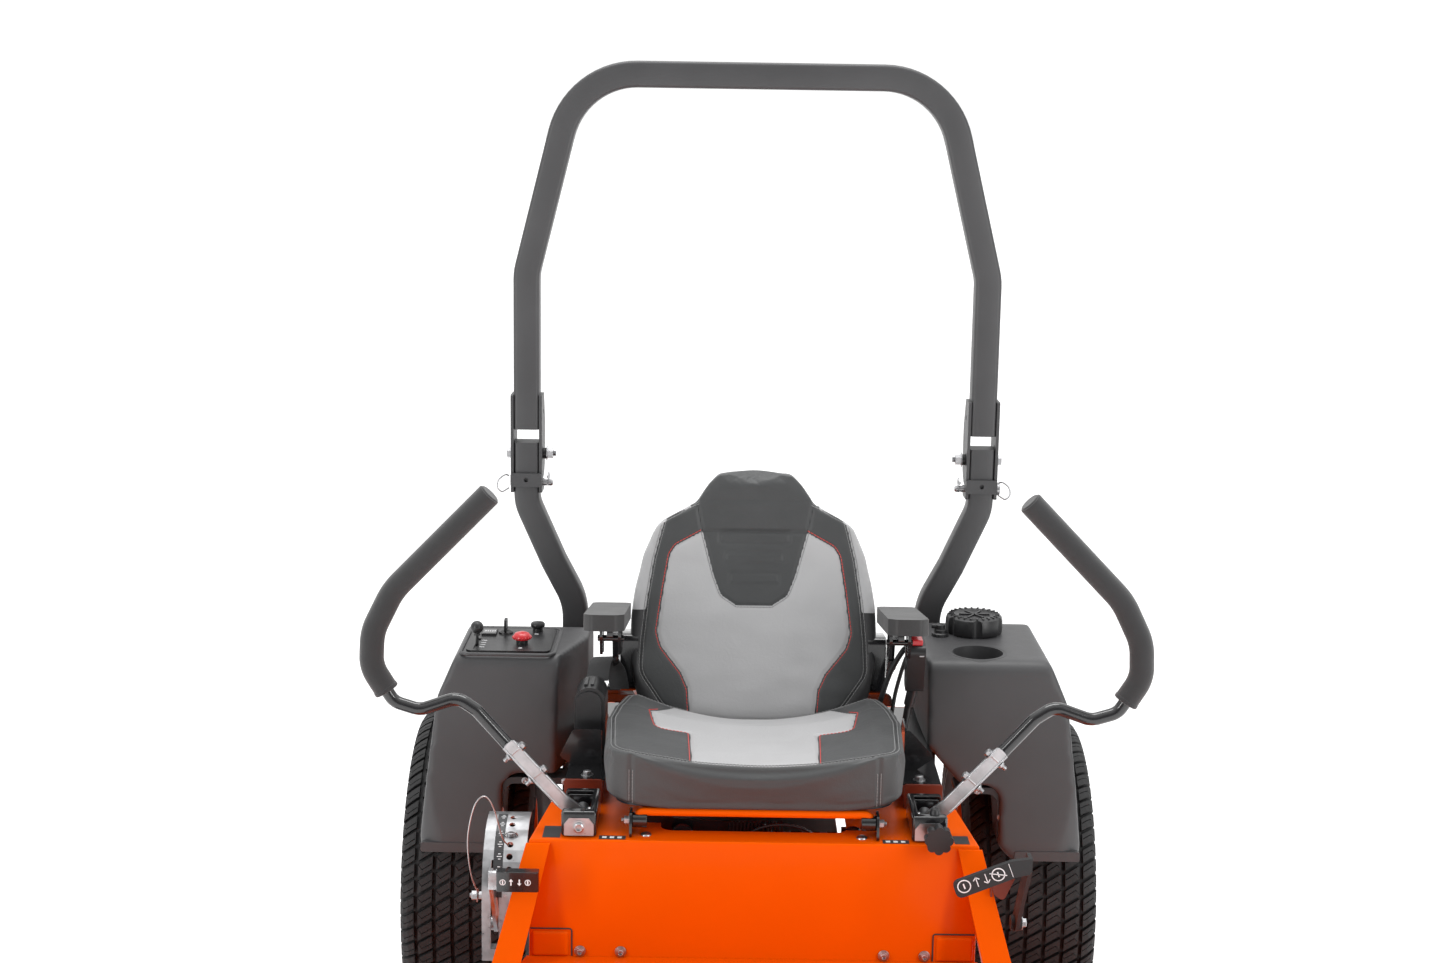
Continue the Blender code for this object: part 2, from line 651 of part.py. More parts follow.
def transaxles():
    for name, side in SIDES:
        low, high = span(side, RAIL_OUT + GAP, 0.385)
        casing = block(f"{name}_transaxle", (low, -0.085, 0.225), (high, 0.1, 0.385))
        soften(casing, 0.012)
        shaft = rod("shaft", (side * 0.37, 0, REAR_RADIUS), (side * 0.4947, 0, REAR_RADIUS), 0.022)
        flange = rod("flange", (side * 0.482, 0, REAR_RADIUS), (side * 0.4947, 0, REAR_RADIUS), 0.06)
        paint(join(casing, shaft, flange), "cast_metal")


# ---- wheels ----
def tyre_profile(radius, width, bead, wall):
    """A closed C-shaped section, open at the bead."""
    half = width / 2
    outer = [
        (bead, half * 0.8), (bead + 0.02, half * 0.93), ((bead + radius) / 2, half),
        (radius - 0.03, half * 0.985), (radius - 0.008, half * 0.9), (radius, half * 0.6),
    ]
    inner = [
        (bead, half * 0.8 - wall), ((bead + radius) / 2, half - wall), (radius - 2 * wall, half * 0.8 - wall),
    ]
    skin = outer + [(r, -h) for r, h in reversed(outer)]
    lining = [(r, -h) for r, h in inner] + list(reversed(inner))
    return skin + lining


def rear_wheels():
    for name, side in SIDES:
        centre = (side * REAR_X, 0, REAR_RADIUS)
        section = tyre_profile(REAR_RADIUS, REAR_WIDTH, RIM_RADIUS + GAP, 0.012)
        tyre = turned(f"{name}_rear_tyre", section, centre, "X", 24, closed=True)
        paint(tyre, "tyre_rubber")
        disc = -side * 0.02
        half = 0.098
        face = disc + 0.004
        back = disc - 0.004
        outer = [(0, face), (0.115, face), (0.14, face + 0.025), (0.148, half), (RIM_RADIUS, half)]
        inner = [(RIM_RADIUS, -half), (0.148, -half), (0.145, back - 0.015), (0.115, back), (0, back)]
        profile = outer + inner
        rim = turned(f"{name}_rear_rim", profile, centre, "X", 24)
        paint(rim, "orange_paint")


def casters():
    for name, side in SIDES:
        pivot = (side * CASTER_X, PIVOT_Y)
        axle = Vector((side * CASTER_X, -WHEELBASE, CASTER_RADIUS))
        crown = [(-0.093, -0.03), (0.093, -0.03), (0.093, 0.045), (-0.093, 0.045)]
        outline = [(pivot[0] + x, pivot[1] + y) for x, y in rounded(crown, 0.015, 2)]
        fork = flat(f"{name}_caster_fork", "Z", outline, 0.3345, 0.3445)
        join(fork, rod("spindle", (*pivot, 0.34), (*pivot, 0.485), SPINDLE))
        join(fork, rod("cap", (*pivot, 0.4705), (*pivot, 0.492), 0.026, 0.02))
        leg = [(-1.355, 0.339), (-1.29, 0.339), (-1.252, 0.165)]
        leg += [(-1.262, 0.147), (-1.278, 0.147), (-1.288, 0.165)]
        for out in (-0.0905, 0.0855):
            x = axle.x + out
            join(fork, flat("leg", "X", leg, x, x + 0.005))
        join(fork, rod("axle", axle - Vector((0.1, 0, 0)), axle + Vector((0.1, 0, 0)), 0.009))
        paint(turn_at(fork, (*pivot, 0.0)), "black_paint")
        half, rad = CASTER_WIDTH / 2, CASTER_RADIUS
        profile = [
            (0.0095, 0.082), (0.028, 0.082), (0.03, 0.03), (0.068, 0.03), (0.078, half * 0.8),
            (0.13, half), (rad - 0.01, half * 0.85), (rad, half * 0.5),
        ]
        profile = profile + [(r, -h) for r, h in reversed(profile)]
        paint(turned(f"{name}_caster_wheel", profile, axle, "X", 20, closed=True), "tyre_rubber")


# ---- mower deck ----
def deck_outline(inset):
    """Plan of the deck: straight at the rear, with its front swelling round the middle blade."""
    edge = DECK_HALF - inset
    rear, front = -0.35 - inset, -1.075 + inset
    return rounded(
        [(-edge, rear), (-edge, -0.86), (-0.3, front), (0.3, front), (edge, -0.86), (edge, rear)],
        [0.06, 0.14, 0.12, 0.12, 0.14, 0.06],
    )


def mower_deck():
    deck = flat("mower_deck", "Z", deck_outline(0.0), 0.09, DECK_TOP)
    soften(deck, 0.02)
    cut(deck, flat("under", "Z", deck_outline(0.006), 0.05, DECK_TOP - 0.006))
    for x, y in BLADES.values():
        join(deck, rod("spindle", (x, y, 0.1255), (x, y, 0.27), 0.022))
        join(deck, rod("pulley", (x, y, 0.25), (x, y, 0.275), 0.07))
    cut(deck, block("outlet", (-0.8, -0.8, 0.06), (-DECK_HALF + 0.02, -0.5, 0.19)))
    join(deck, rod("hinge_bar", (-0.7, -0.87, 0.213), (-0.7, -0.49, 0.213), 0.006, segments=12))
    for y in (-0.865, -0.5):
        join(deck, block("ear", (-0.704, y, 0.2), (-0.682, y + 0.006, 0.214)))
    paint(deck, "orange_paint")


def discharge_chute():
    """A deflector that hangs from a bar on the deck's right edge."""
    outside = [(-0.7, 0.2245), (-0.7195, 0.2195), (-0.93, 0.13)]
    underside = [(-0.93, 0.124), (-0.7175, 0.213), (-0.7065, 0.213), (-0.7042, 0.2186), (-0.7, 0.2203)]
    skin = outside + underside
    chute = flat("discharge_chute", "Y", skin, -0.85, -0.51)
    for y in (-0.85, -0.515):
        fin = [(-0.7195, 0.218), (-0.93, 0.129), (-0.93, 0.1), (-0.72, 0.105)]
        join(chute, flat("fin", "Y", fin, y, y + 0.005))
    paint(turn_at(chute, (-0.7, -0.68, 0.213)), "black_plastic")


def blades():
    """Straight blades with a raised rear wing at each tip."""
    for name, (x, y) in BLADES.items():
        outline = [(-0.22, -0.03), (0.22, -0.03), (0.22, 0.03), (-0.22, 0.03)]
        blade = flat(f"{name}_blade", "Z", [(x + a, y + b) for a, b in outline], 0.115, 0.12)
        for turn in (-1, 1):
            section = [(0.02, 0.118), (0.029, 0.118), (0.029, 0.138), (0.025, 0.138)]
            wing = [(y + turn * out, z) for out, z in section]
            low, high = sorted((x + turn * 0.12, x + turn * 0.218))
            join(blade, flat("wing", "X", wing, low, high))
        join(blade, rod("bolt", (x, y, 0.1), (x, y, 0.1252), 0.016, segments=12))
        paint(turn_at(blade, (x, y, 0.117)), "blade_steel")


# ---- seat ----
def seat_frame():
    """The hinged frame under the seat: a bent front bar, a pan and two hinge ends."""
    y, z = SEAT_HINGE
    front = [(-0.187, y, 0.65), (-0.187, y, 0.6665), (0.187, y, 0.6665), (0.187, y, 0.65)]
    bar = tube("seat_frame", rounded(front, [0, 0.012, 0.012, 0], closed=False), 0.0065)
    outline = rounded([(-0.18, y), (0.18, y), (0.18, -0.26), (-0.18, -0.26)], 0.02)
    join(bar, flat("pan", "Z", outline, 0.6625, 0.6675))
    for side in (-1, 1):
        low, high = span(side, 0.17, 0.194)
        join(bar, rod("end", (low, y, z), (high, y, z), 0.0105))
        low, high = span(side, 0.13, 0.15)
        join(bar, block("track", (low, -0.68, 0.667), (high, -0.28, 0.6715)))
    paint(turn_at(bar, (0, y, z)), "orange_paint")


def seat_cushion():
    outline = rounded(
        [(-0.236, -0.705), (0.236, -0.705), (0.244, -0.52), (0.22, -0.32), (-0.22, -0.32), (-0.244, -0.52)],
        [0.05, 0.05, 0.1, 0.03, 0.03, 0.1],
    )
    cushion = flat("seat_cushion", "Z", outline, SEAT_UNDER, 0.765)
    base = block("base", (-0.15, -0.67, SEAT_UNDER - 0.003), (0.15, -0.34, SEAT_UNDER + 0.01))
    paint(join(soften(cushion, 0.022), base), "seat_vinyl")


def seat_backrest():
    """High and narrow at its head, wide at its middle, and leaning back about its lower front edge."""
    foot_y, foot_z = -0.315, 0.695
    half = [
        (0.185, foot_z), (0.213, 0.8), (0.211, 0.92), (0.178, 1.056),
        (0.104, 1.088), (0.085, 1.122), (0.066, 1.14),
    ]
    radii = [0.03, 0.1, 0.1, 0.05, 0.03, 0.02, 0.015]
    outline = half + [(-x, z) for x, z in reversed(half)]
    back = flat("seat_backrest", "Y", rounded(outline, radii + radii[::-1]), foot_y, foot_y + 0.09)
    soften(back, 0.022)
    lean = Matrix.Translation((0, foot_y, foot_z)) @ Matrix.Rotation(math.radians(-9), 4, "X")
    back.data.transform(lean @ Matrix.Translation((0, -foot_y, -foot_z)))
    paint(back, "seat_vinyl")


ARM_PIVOT = (-0.262, 0.792)


def armrests():
    """Each pad slopes down to the rear about its lower front edge."""
    front = Vector((0, -0.565, 0.9253))
    slope = Matrix.Translation(front) @ Matrix.Rotation(math.radians(-9.5), 4, "X") @ Matrix.Translation(-front)
    for name, side in SIDES:
        low, high = span(side, 0.2165, 0.284)
        outline = rounded([(low, -0.565), (high, -0.565), (high, -0.29), (low, -0.29)], 0.022)
        pad = flat(f"{name}_armrest_pad", "Z", outline, 0.9253, 0.952)
        soften(pad, 0.009)
        pad.data.transform(slope)
        paint(turn_at(pad, (side * 0.25, *ARM_PIVOT)), "black_plastic")
        low, high = span(side, 0.237, 0.247)
        outline = [
            (-0.278, 0.775), (-0.246, 0.775), (-0.246, 0.81), (-0.3, 0.845), (-0.3, 0.8803), (-0.52, 0.9171),
            (-0.52, 0.902), (-0.345, 0.86), (-0.335, 0.82),
        ]
        radii = [0.014, 0.014, 0.02, 0.01, 0, 0.004, 0.004, 0.02, 0.02]
        arm = flat(f"{name}_armrest_arm", "X", rounded(outline, radii), low, high)
        paint(turn_at(arm, (side * 0.25, *ARM_PIVOT)), "black_paint")


def seat_belt():
    low, high = span(-1, 0.2465, 0.3)
    outline = [(-0.445, 0.69), (-0.345, 0.675), (-0.34, 0.76)]
    outline += [(-0.365, 0.795), (-0.425, 0.785), (-0.45, 0.75)]
    retractor = flat("seat_belt_retractor", "X", rounded(outline, 0.02), low, high)
    soften(retractor, 0.01)
    foot = block("foot", (-0.262, -0.42, 0.672), (-0.2465, -0.37, 0.7))
    paint(join(retractor, foot), "black_plastic")
    stalk = [(0.262, -0.36, 0.678), (0.27, -0.375, 0.75), (0.279, -0.395, 0.8)]
    buckle = tube("seat_belt_buckle", rounded(stalk, [0, 0.05, 0], closed=False), 0.006)
    body = rounded([(-0.432, 0.868), (-0.372, 0.882), (-0.37, 0.79), (-0.405, 0.782)], 0.012)
    join(buckle, soften(flat("body", "X", body, 0.262, 0.293), 0.005))
    paint(buckle, "black_plastic")


# ---- controls ----
TRACKING = (0.289, 0.648)


def lever_housings():
    """A folded box over each lever pivot, with a window in its top that opens to the outer side."""
    for name, side in SIDES:
        low, high = span(side, 0.2503, 0.3063)
        top = 0.6725
        housing = block(f"{name}_lever_housing", (low, -0.722, BOX_TOP + GAP), (high, -0.606, top))
        soften(housing, 0.004)
        cut(housing, block("inside", (low + 0.004, -0.717, 0.6), (high - 0.004, -0.611, top - 0.004)))
        low, high = span(side, 0.261, 0.32)
        cut(housing, block("window", (low, -0.706, 0.648), (high, -0.622, 0.7)))
        if side > 0:
            x, z = TRACKING
            cut(housing, rod("bore", (x, -0.73, z), (x, -0.71, z), 0.0068))
        paint(housing, "black_paint")


def pivot_blocks():
    for name, side in SIDES:
        x = side * LEVER_X
        start = (x, LEVER_Y - 0.0117, LEVER_Z)
        pivot = rod(f"{name}_pivot_block", start, (x, LEVER_Y + 0.02, LEVER_Z), 0.0105)
        y = LEVER_Y + 0.006
        cross = rod("cross", (x - 0.018, y, LEVER_Z), (x + 0.018, y, LEVER_Z), 0.006)
        paint(turn_at(join(pivot, cross), (x, LEVER_Y, LEVER_Z)), "zinc")


LEVER_PATH = [
    (0.351, 0.709), (0.447, 0.818), (0.477, 0.838), (0.537, 0.817), (0.5785, 0.8298), (0.592, 0.852),
]
GRIP_PATH = [(0.592, 0.852), (0.614, 0.888), (0.611, 0.945), (0.578, 1.012), (0.424, 1.17)]


def along(points, y, side):
    return [(side * x, y, z) for x, z in points]


def lever_bar_outline():
    """(X, Z) outline of the flat bar: round about the pivot, then a knee, then up to a square top."""
    reach = 0.0115
    turns = [math.radians(127 + 45 * k) for k in range(5)]
    foot = [(LEVER_X + reach * math.cos(t), LEVER_Z + reach * math.sin(t)) for t in turns]
    outer = [(0.313, 0.662), (0.4045, 0.76)]
    inner = [(0.3875, 0.776), (0.301, 0.683)]
    return rounded(foot + outer + inner, [0] * len(foot) + [0.02, 0.006, 0.006, 0.02])


def control_levers():
    """A flat steel bar on the pivot carries the bent lever tube, which ends where its grip starts."""
    y = LEVER_Y
    for name, side in SIDES:
        points = rounded(along(LEVER_PATH, y, side), [0, 0.035, 0.03, 0.035, 0.03, 0], closed=False)
        lever = tube(f"{name}_control_lever", points, 0.0105)
        bar = flat("bar", "Y", mirrored(lever_bar_outline(), side), y - 0.018, y - 0.012)
        for x, z in ((0.366, 0.726), (0.386, 0.748)):
            join(lever, rod("bolt", (side * x, y - 0.015, z), (side * x, y, z), 0.005, segments=12))
        paint(turn_at(join(lever, bar), (side * LEVER_X, LEVER_Y, LEVER_Z)), "black_paint")


def lever_grips():
    for name, side in SIDES:
        start = Vector(GRIP_PATH[0])
        ahead = (Vector(GRIP_PATH[1]) - start).normalized()
        path = [start + ahead * GAP * 2] + [Vector(p) for p in GRIP_PATH[1:]]
        points = rounded(along(path, LEVER_Y, side), [0, 0.06, 0.09, 0.12, 0], closed=False)
        grip = tube(f"{name}_lever_grip", points, 0.0195)
        paint(turn_at(grip, (side * LEVER_X, LEVER_Y, LEVER_Z)), "foam_grip")


def tracking_knob():
    """A lobed hand knob on the left lever housing."""
    x, z = TRACKING
    lobes, steps = 8, 48
    outline = []
    for k in range(steps):
        turn = 2 * math.pi * k / steps
        reach = 0.0215 + 0.003 * math.cos(lobes * turn)
        outline.append((x + reach * math.cos(turn), z + reach * math.sin(turn)))
    knob = flat("tracking_knob", "Y", outline, -0.764, -0.748)
    join(knob, rod("stem", (x, -0.75, z), (x, -0.7175, z), 0.0065))
    paint(turn_at(knob, (x, -0.756, z)), "black_plastic")


def parking_brake_lever():
    """A strap lever outside the left flange, bent inwards into a flat handle."""
    outline = [(-0.742, 0.49), (-0.718, 0.49), (-0.718, 0.512)]
    outline += [(-0.826, 0.655), (-0.854, 0.655), (-0.854, 0.633)]
    radii = [0.011, 0.011, 0.011, 0.004, 0.004, 0.004]
    arm = flat("parking_brake_lever", "X", rounded(outline, radii), 0.4165, 0.4225)
    strap = [(0.4195, 0.655), (0.39, 0.6505), (0.301, 0.6145)]
    strap += [(0.3105, 0.588), (0.3985, 0.6245), (0.4195, 0.63)]
    handle = flat("handle", "Y", rounded(strap, [0.001, 0.02, 0.009, 0.009, 0.02, 0.001]), -0.854, -0.845)
    hub = rod("hub", (0.411, -0.73, 0.501), (0.428, -0.73, 0.501), 0.012)
    paint(turn_at(join(arm, handle, hub), (0.42, -0.73, 0.501)), "black_plastic")


HEIGHT_HOLES = 7
HEIGHT_CENTRE = Vector((-0.388, -0.64, 0.53))
HEIGHT_RADIUS = 0.108


def height_arc(radius, steps=9):
    """(Y, Z) points along the arc of the height plate, from its rear end to its front end."""
    turns = [math.radians(84 + 94 * k / steps) for k in range(steps + 1)]
    return [(HEIGHT_CENTRE.y + radius * math.cos(t), HEIGHT_CENTRE.z + radius * math.sin(t)) for t in turns]


def height_reach(degrees):
    """The direction from the arc's centre to a hole."""
    turn = math.radians(degrees)
    return Vector((0, math.cos(turn), math.sin(turn)))


def height_plate():
    """A bent strip with a row of holes that set the cutting height, above a slotted bracket."""
    wall = 0.0035
    front = HEIGHT_CENTRE.y - HEIGHT_RADIUS
    bottom = RAIL_TOP + GAP
    rear = front + 0.06
    foot = [(front, bottom), (rear, bottom), (rear, bottom + wall), (front + wall, bottom + wall)]
    outline = height_arc(HEIGHT_RADIUS) + foot + height_arc(HEIGHT_RADIUS - wall)[::-1]
    plate = flat("height_plate", "X", outline, -0.43, -0.3615)
    for k in range(HEIGHT_HOLES):
        reach = height_reach(98 + 11 * k)
        start = HEIGHT_CENTRE + reach * (HEIGHT_RADIUS - 0.018)
        end = HEIGHT_CENTRE + reach * (HEIGHT_RADIUS + 0.012)
        cut(plate, rod("hole", start, end, 0.0052, segments=12))
    cut(plate, block("slot", (-0.416, -0.8, 0.45), (-0.403, -0.7, 0.592)))
    cut(plate, block("relief", (-0.377, -0.8, 0.4), (-0.35, -0.5, 0.5)))
    paint(plate, "zinc")


def height_pin():
    reach = height_reach(120)
    pin = rod("height_pin", HEIGHT_CENTRE + reach * 0.085, HEIGHT_CENTRE + reach * 0.111, 0.0046, segments=12)
    head_low = HEIGHT_CENTRE + reach * (HEIGHT_RADIUS + GAP)
    join(pin, rod("head", head_low, HEIGHT_CENTRE + reach * 0.116, 0.008))
    paint(turn_at(pin, head_low), "zinc")


def deck_lift_lever():
    """The transport release: a strap through the bracket's slot, with a sleeved handle turned inwards."""
    outline = [(-0.728, 0.47), (-0.706, 0.47), (-0.706, 0.492)]
    outline += [(-0.788, 0.602), (-0.806, 0.602), (-0.806, 0.585)]
    radii = [0.009, 0.009, 0.009, 0.004, 0.004, 0.004]
    arm = flat("deck_lift_lever", "X", rounded(outline, radii), -0.4125, -0.4065)
    grip = [(-0.4125, -0.806), (-0.336, -0.806), (-0.336, -0.792), (-0.4125, -0.792)]
    handle = flat("handle", "Z", rounded(grip, [0.001, 0.006, 0.006, 0.001]), 0.573, 0.6)
    hub = rod("hub", (-0.418, -0.717, 0.481), (-0.401, -0.717, 0.481), 0.011)
    paint(turn_at(join(arm, handle, hub), (-0.41, -0.717, 0.481)), "zinc")


def assemble():
    """Hangs every piece and every tool from one empty on the machine datum."""
    datum = bpy.data.objects.new("machine_datum", None)
    PARTS.objects.link(datum)
    datum.location = DATUM
    for obj in list(PARTS.objects) + list(CUTTERS.objects):
        if obj is not datum:
            obj.parent = datum


frame_rails()
front_axle_beam()
engine_plate()
rear_guard()
seat_box()
leg_well()
right_fender_console()
control_panel()
console_controls()
left_fuel_tank()
fuel_cap()
rops_posts()
rops_hoop()
lock_pins()
engine()
transaxles()
rear_wheels()
casters()
mower_deck()
discharge_chute()
blades()
seat_frame()
seat_cushion()
seat_backrest()
armrests()
seat_belt()
lever_housings()
pivot_blocks()
control_levers()
lever_grips()
tracking_knob()
parking_brake_lever()
height_plate()
height_pin()
deck_lift_lever()
assemble()
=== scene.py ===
"""The looks of the zero-turn mower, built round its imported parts. Metres, +Z up.

Shapes are laid out in machine coordinates: X to the operator's left, -Y forwards, and the origin on
the floor under the middle of the rear axle. DATUM turns them into the frame's coordinates.
"""

import json
import math

import bmesh
import bpy
import numpy as np
from mathutils import Matrix, Vector, noise
from mathutils.bvhtree import BVHTree

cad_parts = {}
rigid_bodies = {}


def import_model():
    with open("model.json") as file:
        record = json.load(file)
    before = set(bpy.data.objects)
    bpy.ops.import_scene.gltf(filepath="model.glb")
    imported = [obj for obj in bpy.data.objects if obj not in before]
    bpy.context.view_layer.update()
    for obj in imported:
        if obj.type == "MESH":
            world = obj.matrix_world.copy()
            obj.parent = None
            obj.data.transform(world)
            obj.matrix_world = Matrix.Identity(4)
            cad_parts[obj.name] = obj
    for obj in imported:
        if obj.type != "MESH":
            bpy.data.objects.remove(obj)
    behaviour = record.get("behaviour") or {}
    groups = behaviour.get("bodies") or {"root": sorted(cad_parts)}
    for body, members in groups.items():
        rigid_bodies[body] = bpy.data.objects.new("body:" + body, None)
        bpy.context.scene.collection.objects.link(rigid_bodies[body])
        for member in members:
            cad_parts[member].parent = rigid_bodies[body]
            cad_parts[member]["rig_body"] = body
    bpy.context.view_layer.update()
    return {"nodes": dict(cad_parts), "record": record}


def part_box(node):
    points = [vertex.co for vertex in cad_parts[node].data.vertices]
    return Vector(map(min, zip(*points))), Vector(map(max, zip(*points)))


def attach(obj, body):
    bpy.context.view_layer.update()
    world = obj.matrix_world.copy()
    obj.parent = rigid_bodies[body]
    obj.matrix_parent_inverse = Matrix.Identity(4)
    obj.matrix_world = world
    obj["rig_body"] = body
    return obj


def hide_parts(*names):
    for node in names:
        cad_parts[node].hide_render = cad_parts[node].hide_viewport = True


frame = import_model()
NODES = frame["nodes"]
SLOT_OF = {row["node"]: row["material_slot"] for row in frame["record"]["subparts"]}
LEFT_TYRE, RIGHT_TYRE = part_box("left_rear_tyre"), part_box("right_rear_tyre")
DATUM = (LEFT_TYRE[1] + RIGHT_TYRE[0]) / 2
DATUM.y = (LEFT_TYRE[0].y + LEFT_TYRE[1].y) / 2
DATUM.z = 0.0
SIDES = (("left", 1), ("right", -1))


# ---- materials ----
def new_material(name):
    """A material with its nodes, links and surface shader."""
    made = bpy.data.materials.new(name)
    made.use_nodes = True
    tree = made.node_tree
    return made, tree.nodes, tree.links, tree.nodes["Principled BSDF"]


def textured(links, nodes, kind, scale, **settings):
    """A texture node in object coordinates."""
    place = nodes.new("ShaderNodeTexCoord")
    texture = nodes.new(kind)
    links.new(place.outputs["Object"], texture.inputs["Vector"])
    texture.inputs["Scale"].default_value = scale
    for key, value in settings.items():
        name = key.replace("_", " ").title()
        texture.inputs[name].default_value = value
    return texture


def mapped(nodes, links, source, start, end, low=0.0, high=1.0, kind="LINEAR"):
    """A value's stretch from start to end, turned into low to high."""
    node = nodes.new("ShaderNodeMapRange")
    node.interpolation_type = kind
    links.new(source, node.inputs["Value"])
    for name, value in (("From Min", start), ("From Max", end), ("To Min", low), ("To Max", high)):
        node.inputs[name].default_value = value
    return node.outputs["Result"]


def bumped(nodes, links, heights):
    """A chain of bump nodes, one for each (height, strength, distance)."""
    normal = None
    for height, strength, distance in heights:
        bump = nodes.new("ShaderNodeBump")
        bump.inputs["Strength"].default_value = strength
        bump.inputs["Distance"].default_value = distance
        links.new(height, bump.inputs["Height"])
        if normal is not None:
            links.new(normal, bump.inputs["Normal"])
        normal = bump.outputs["Normal"]
    return normal


def mottled(nodes, links, colour, scale, spread):
    """The colour, a little lighter and darker in soft patches."""
    patches = textured(links, nodes, "ShaderNodeTexNoise", scale, detail=3.0)
    ramp = nodes.new("ShaderNodeValToRGB")
    ramp.color_ramp.elements[0].position = 0.3
    ramp.color_ramp.elements[1].position = 0.7
    ramp.color_ramp.elements[0].color = (*[c * (1 - spread) for c in colour], 1)
    ramp.color_ramp.elements[1].color = (*[min(1.0, c * (1 + spread)) for c in colour], 1)
    links.new(patches.outputs["Fac"], ramp.inputs["Fac"])
    return ramp.outputs["Color"]


def finish(
    name, colour, rough, metallic=0.0, grain=600.0, depth=0.0002, strength=0.3,
    spread=0.1, patches=7.0, swing=0.06, coat=0.0, sheen=0.0, waves=0.0, shine=0.5,
):
    """A surface with soft colour patches, uneven roughness and a fine grain.

    grain is the number of bumps in a metre and depth their height; waves adds a long, shallow swell.
    """
    made, nodes, links, shader = new_material(name)
    links.new(mottled(nodes, links, colour, patches, spread), shader.inputs["Base Color"])
    shader.inputs["Metallic"].default_value = metallic
    shader.inputs["Specular IOR Level"].default_value = shine
    smears = textured(links, nodes, "ShaderNodeTexNoise", patches * 6, detail=4.0)
    uneven = mapped(nodes, links, smears.outputs["Fac"], 0, 1, rough - swing, rough + swing)
    links.new(uneven, shader.inputs["Roughness"])
    shader.inputs["Coat Weight"].default_value = coat
    shader.inputs["Coat Roughness"].default_value = 0.08
    shader.inputs["Sheen Weight"].default_value = sheen
    fine = textured(links, nodes, "ShaderNodeTexNoise", grain, detail=2.0)
    heights = [(fine.outputs["Fac"], strength, depth)]
    if waves:
        swell = textured(links, nodes, "ShaderNodeTexNoise", 14.0, detail=1.0)
        heights.append((swell.outputs["Fac"], 0.5, waves))
    links.new(bumped(nodes, links, heights), shader.inputs["Normal"])
    return made


def pebbled(nodes, links, shader, rough, sheen, creasing):
    """The surface of seat vinyl: small cells, fine creases, worn patches and a soft sheen.

    creasing holds the creases' number in a metre, distortion, strength and depth.
    """
    scale, distortion, strength, depth = creasing
    shader.inputs["Sheen Weight"].default_value = sheen
    shader.inputs["Sheen Roughness"].default_value = 0.4
    cells = textured(links, nodes, "ShaderNodeTexVoronoi", 620.0)
    cells.feature = "SMOOTH_F1"
    creases = textured(links, nodes, "ShaderNodeTexNoise", scale, detail=5.0, distortion=distortion)
    worn = textured(links, nodes, "ShaderNodeTexNoise", 22.0, detail=3.0)
    uneven = mapped(nodes, links, worn.outputs["Fac"], 0, 1, rough - 0.08, rough + 0.08)
    links.new(uneven, shader.inputs["Roughness"])
    heights = [(cells.outputs["Distance"], 0.35, 0.0004), (creases.outputs["Fac"], strength, depth)]
    links.new(bumped(nodes, links, heights), shader.inputs["Normal"])


def vinyl(name, colour, rough=0.5):
    """Seat vinyl in one colour."""
    made, nodes, links, shader = new_material(name)
    links.new(mottled(nodes, links, colour, 16.0, 0.06), shader.inputs["Base Color"])
    pebbled(nodes, links, shader, rough, 0.12, (55.0, 1.6, 0.22, 0.0012))
    return made


def brushed(name, colour, rough):
    """Plated steel: cloudy brightness and drawn lines."""
    made, nodes, links, shader = new_material(name)
    links.new(mottled(nodes, links, colour, 60.0, 0.14), shader.inputs["Base Color"])
    shader.inputs["Metallic"].default_value = 1.0
    clouds = textured(links, nodes, "ShaderNodeTexNoise", 120.0, detail=5.0)
    uneven = mapped(nodes, links, clouds.outputs["Fac"], 0, 1, rough - 0.1, rough + 0.14)
    links.new(uneven, shader.inputs["Roughness"])
    lines = textured(links, nodes, "ShaderNodeTexWave", 420.0, distortion=6.0, detail=2.0)
    links.new(bumped(nodes, links, [(lines.outputs["Fac"], 0.08, 0.0001)]), shader.inputs["Normal"])
    return made


ORANGE = (0.74, 0.088, 0.0)
MATS = {
    "orange_paint": finish(
        "orange_paint", ORANGE, 0.3, grain=260.0, depth=0.00008, strength=0.25, spread=0.035, patches=4.0,
        swing=0.05, coat=0.03, waves=0.0006, shine=0.05,
    ),
    "charcoal_coat": finish(
        "charcoal_coat", (0.048, 0.048, 0.05), 0.46, grain=1500.0, depth=0.00012, strength=0.45,
    ),
    "moulded_plastic": finish(
        "moulded_plastic", (0.046, 0.046, 0.048), 0.47, grain=900.0, depth=0.00022, strength=0.5, spread=0.08,
    ),
    "black_plastic": finish(
        "black_plastic", (0.014, 0.014, 0.015), 0.38, grain=1400.0, depth=0.00012, strength=0.35,
    ),
    "black_paint": finish(
        "black_paint", (
            0.008, 0.008, 0.009,
        ), 0.2, grain=240.0, depth=0.00005, strength=0.2, swing=0.05, coat=0.5,
    ),
    "zinc": brushed("zinc", (0.44, 0.44, 0.45), 0.3),
    "foam_grip": finish(
        "foam_grip", (
            0.02, 0.02, 0.021,
        ), 0.86, grain=1100.0, depth=0.0006, strength=0.6, sheen=0.35, swing=0.04,
    ),
    "seat_vinyl": vinyl("seat_vinyl", (0.052, 0.052, 0.054)),
    "red_plastic": finish("red_plastic", (0.5, 0.006, 0.012), 0.3, grain=500.0, depth=0.00005, coat=0.3),
    "tyre_rubber": finish(
        "tyre_rubber", (0.014, 0.014, 0.0145), 0.72, grain=700.0, depth=0.0004, strength=0.5, spread=0.35,
        patches=18.0,
    ),
    "cast_metal": finish(
        "cast_metal", (
            0.3, 0.3, 0.31,
        ), 0.5, metallic=0.9, grain=420.0, depth=0.0005, strength=0.5, spread=0.2,
    ),
    "blade_steel": brushed("blade_steel", (0.36, 0.36, 0.37), 0.38),
}
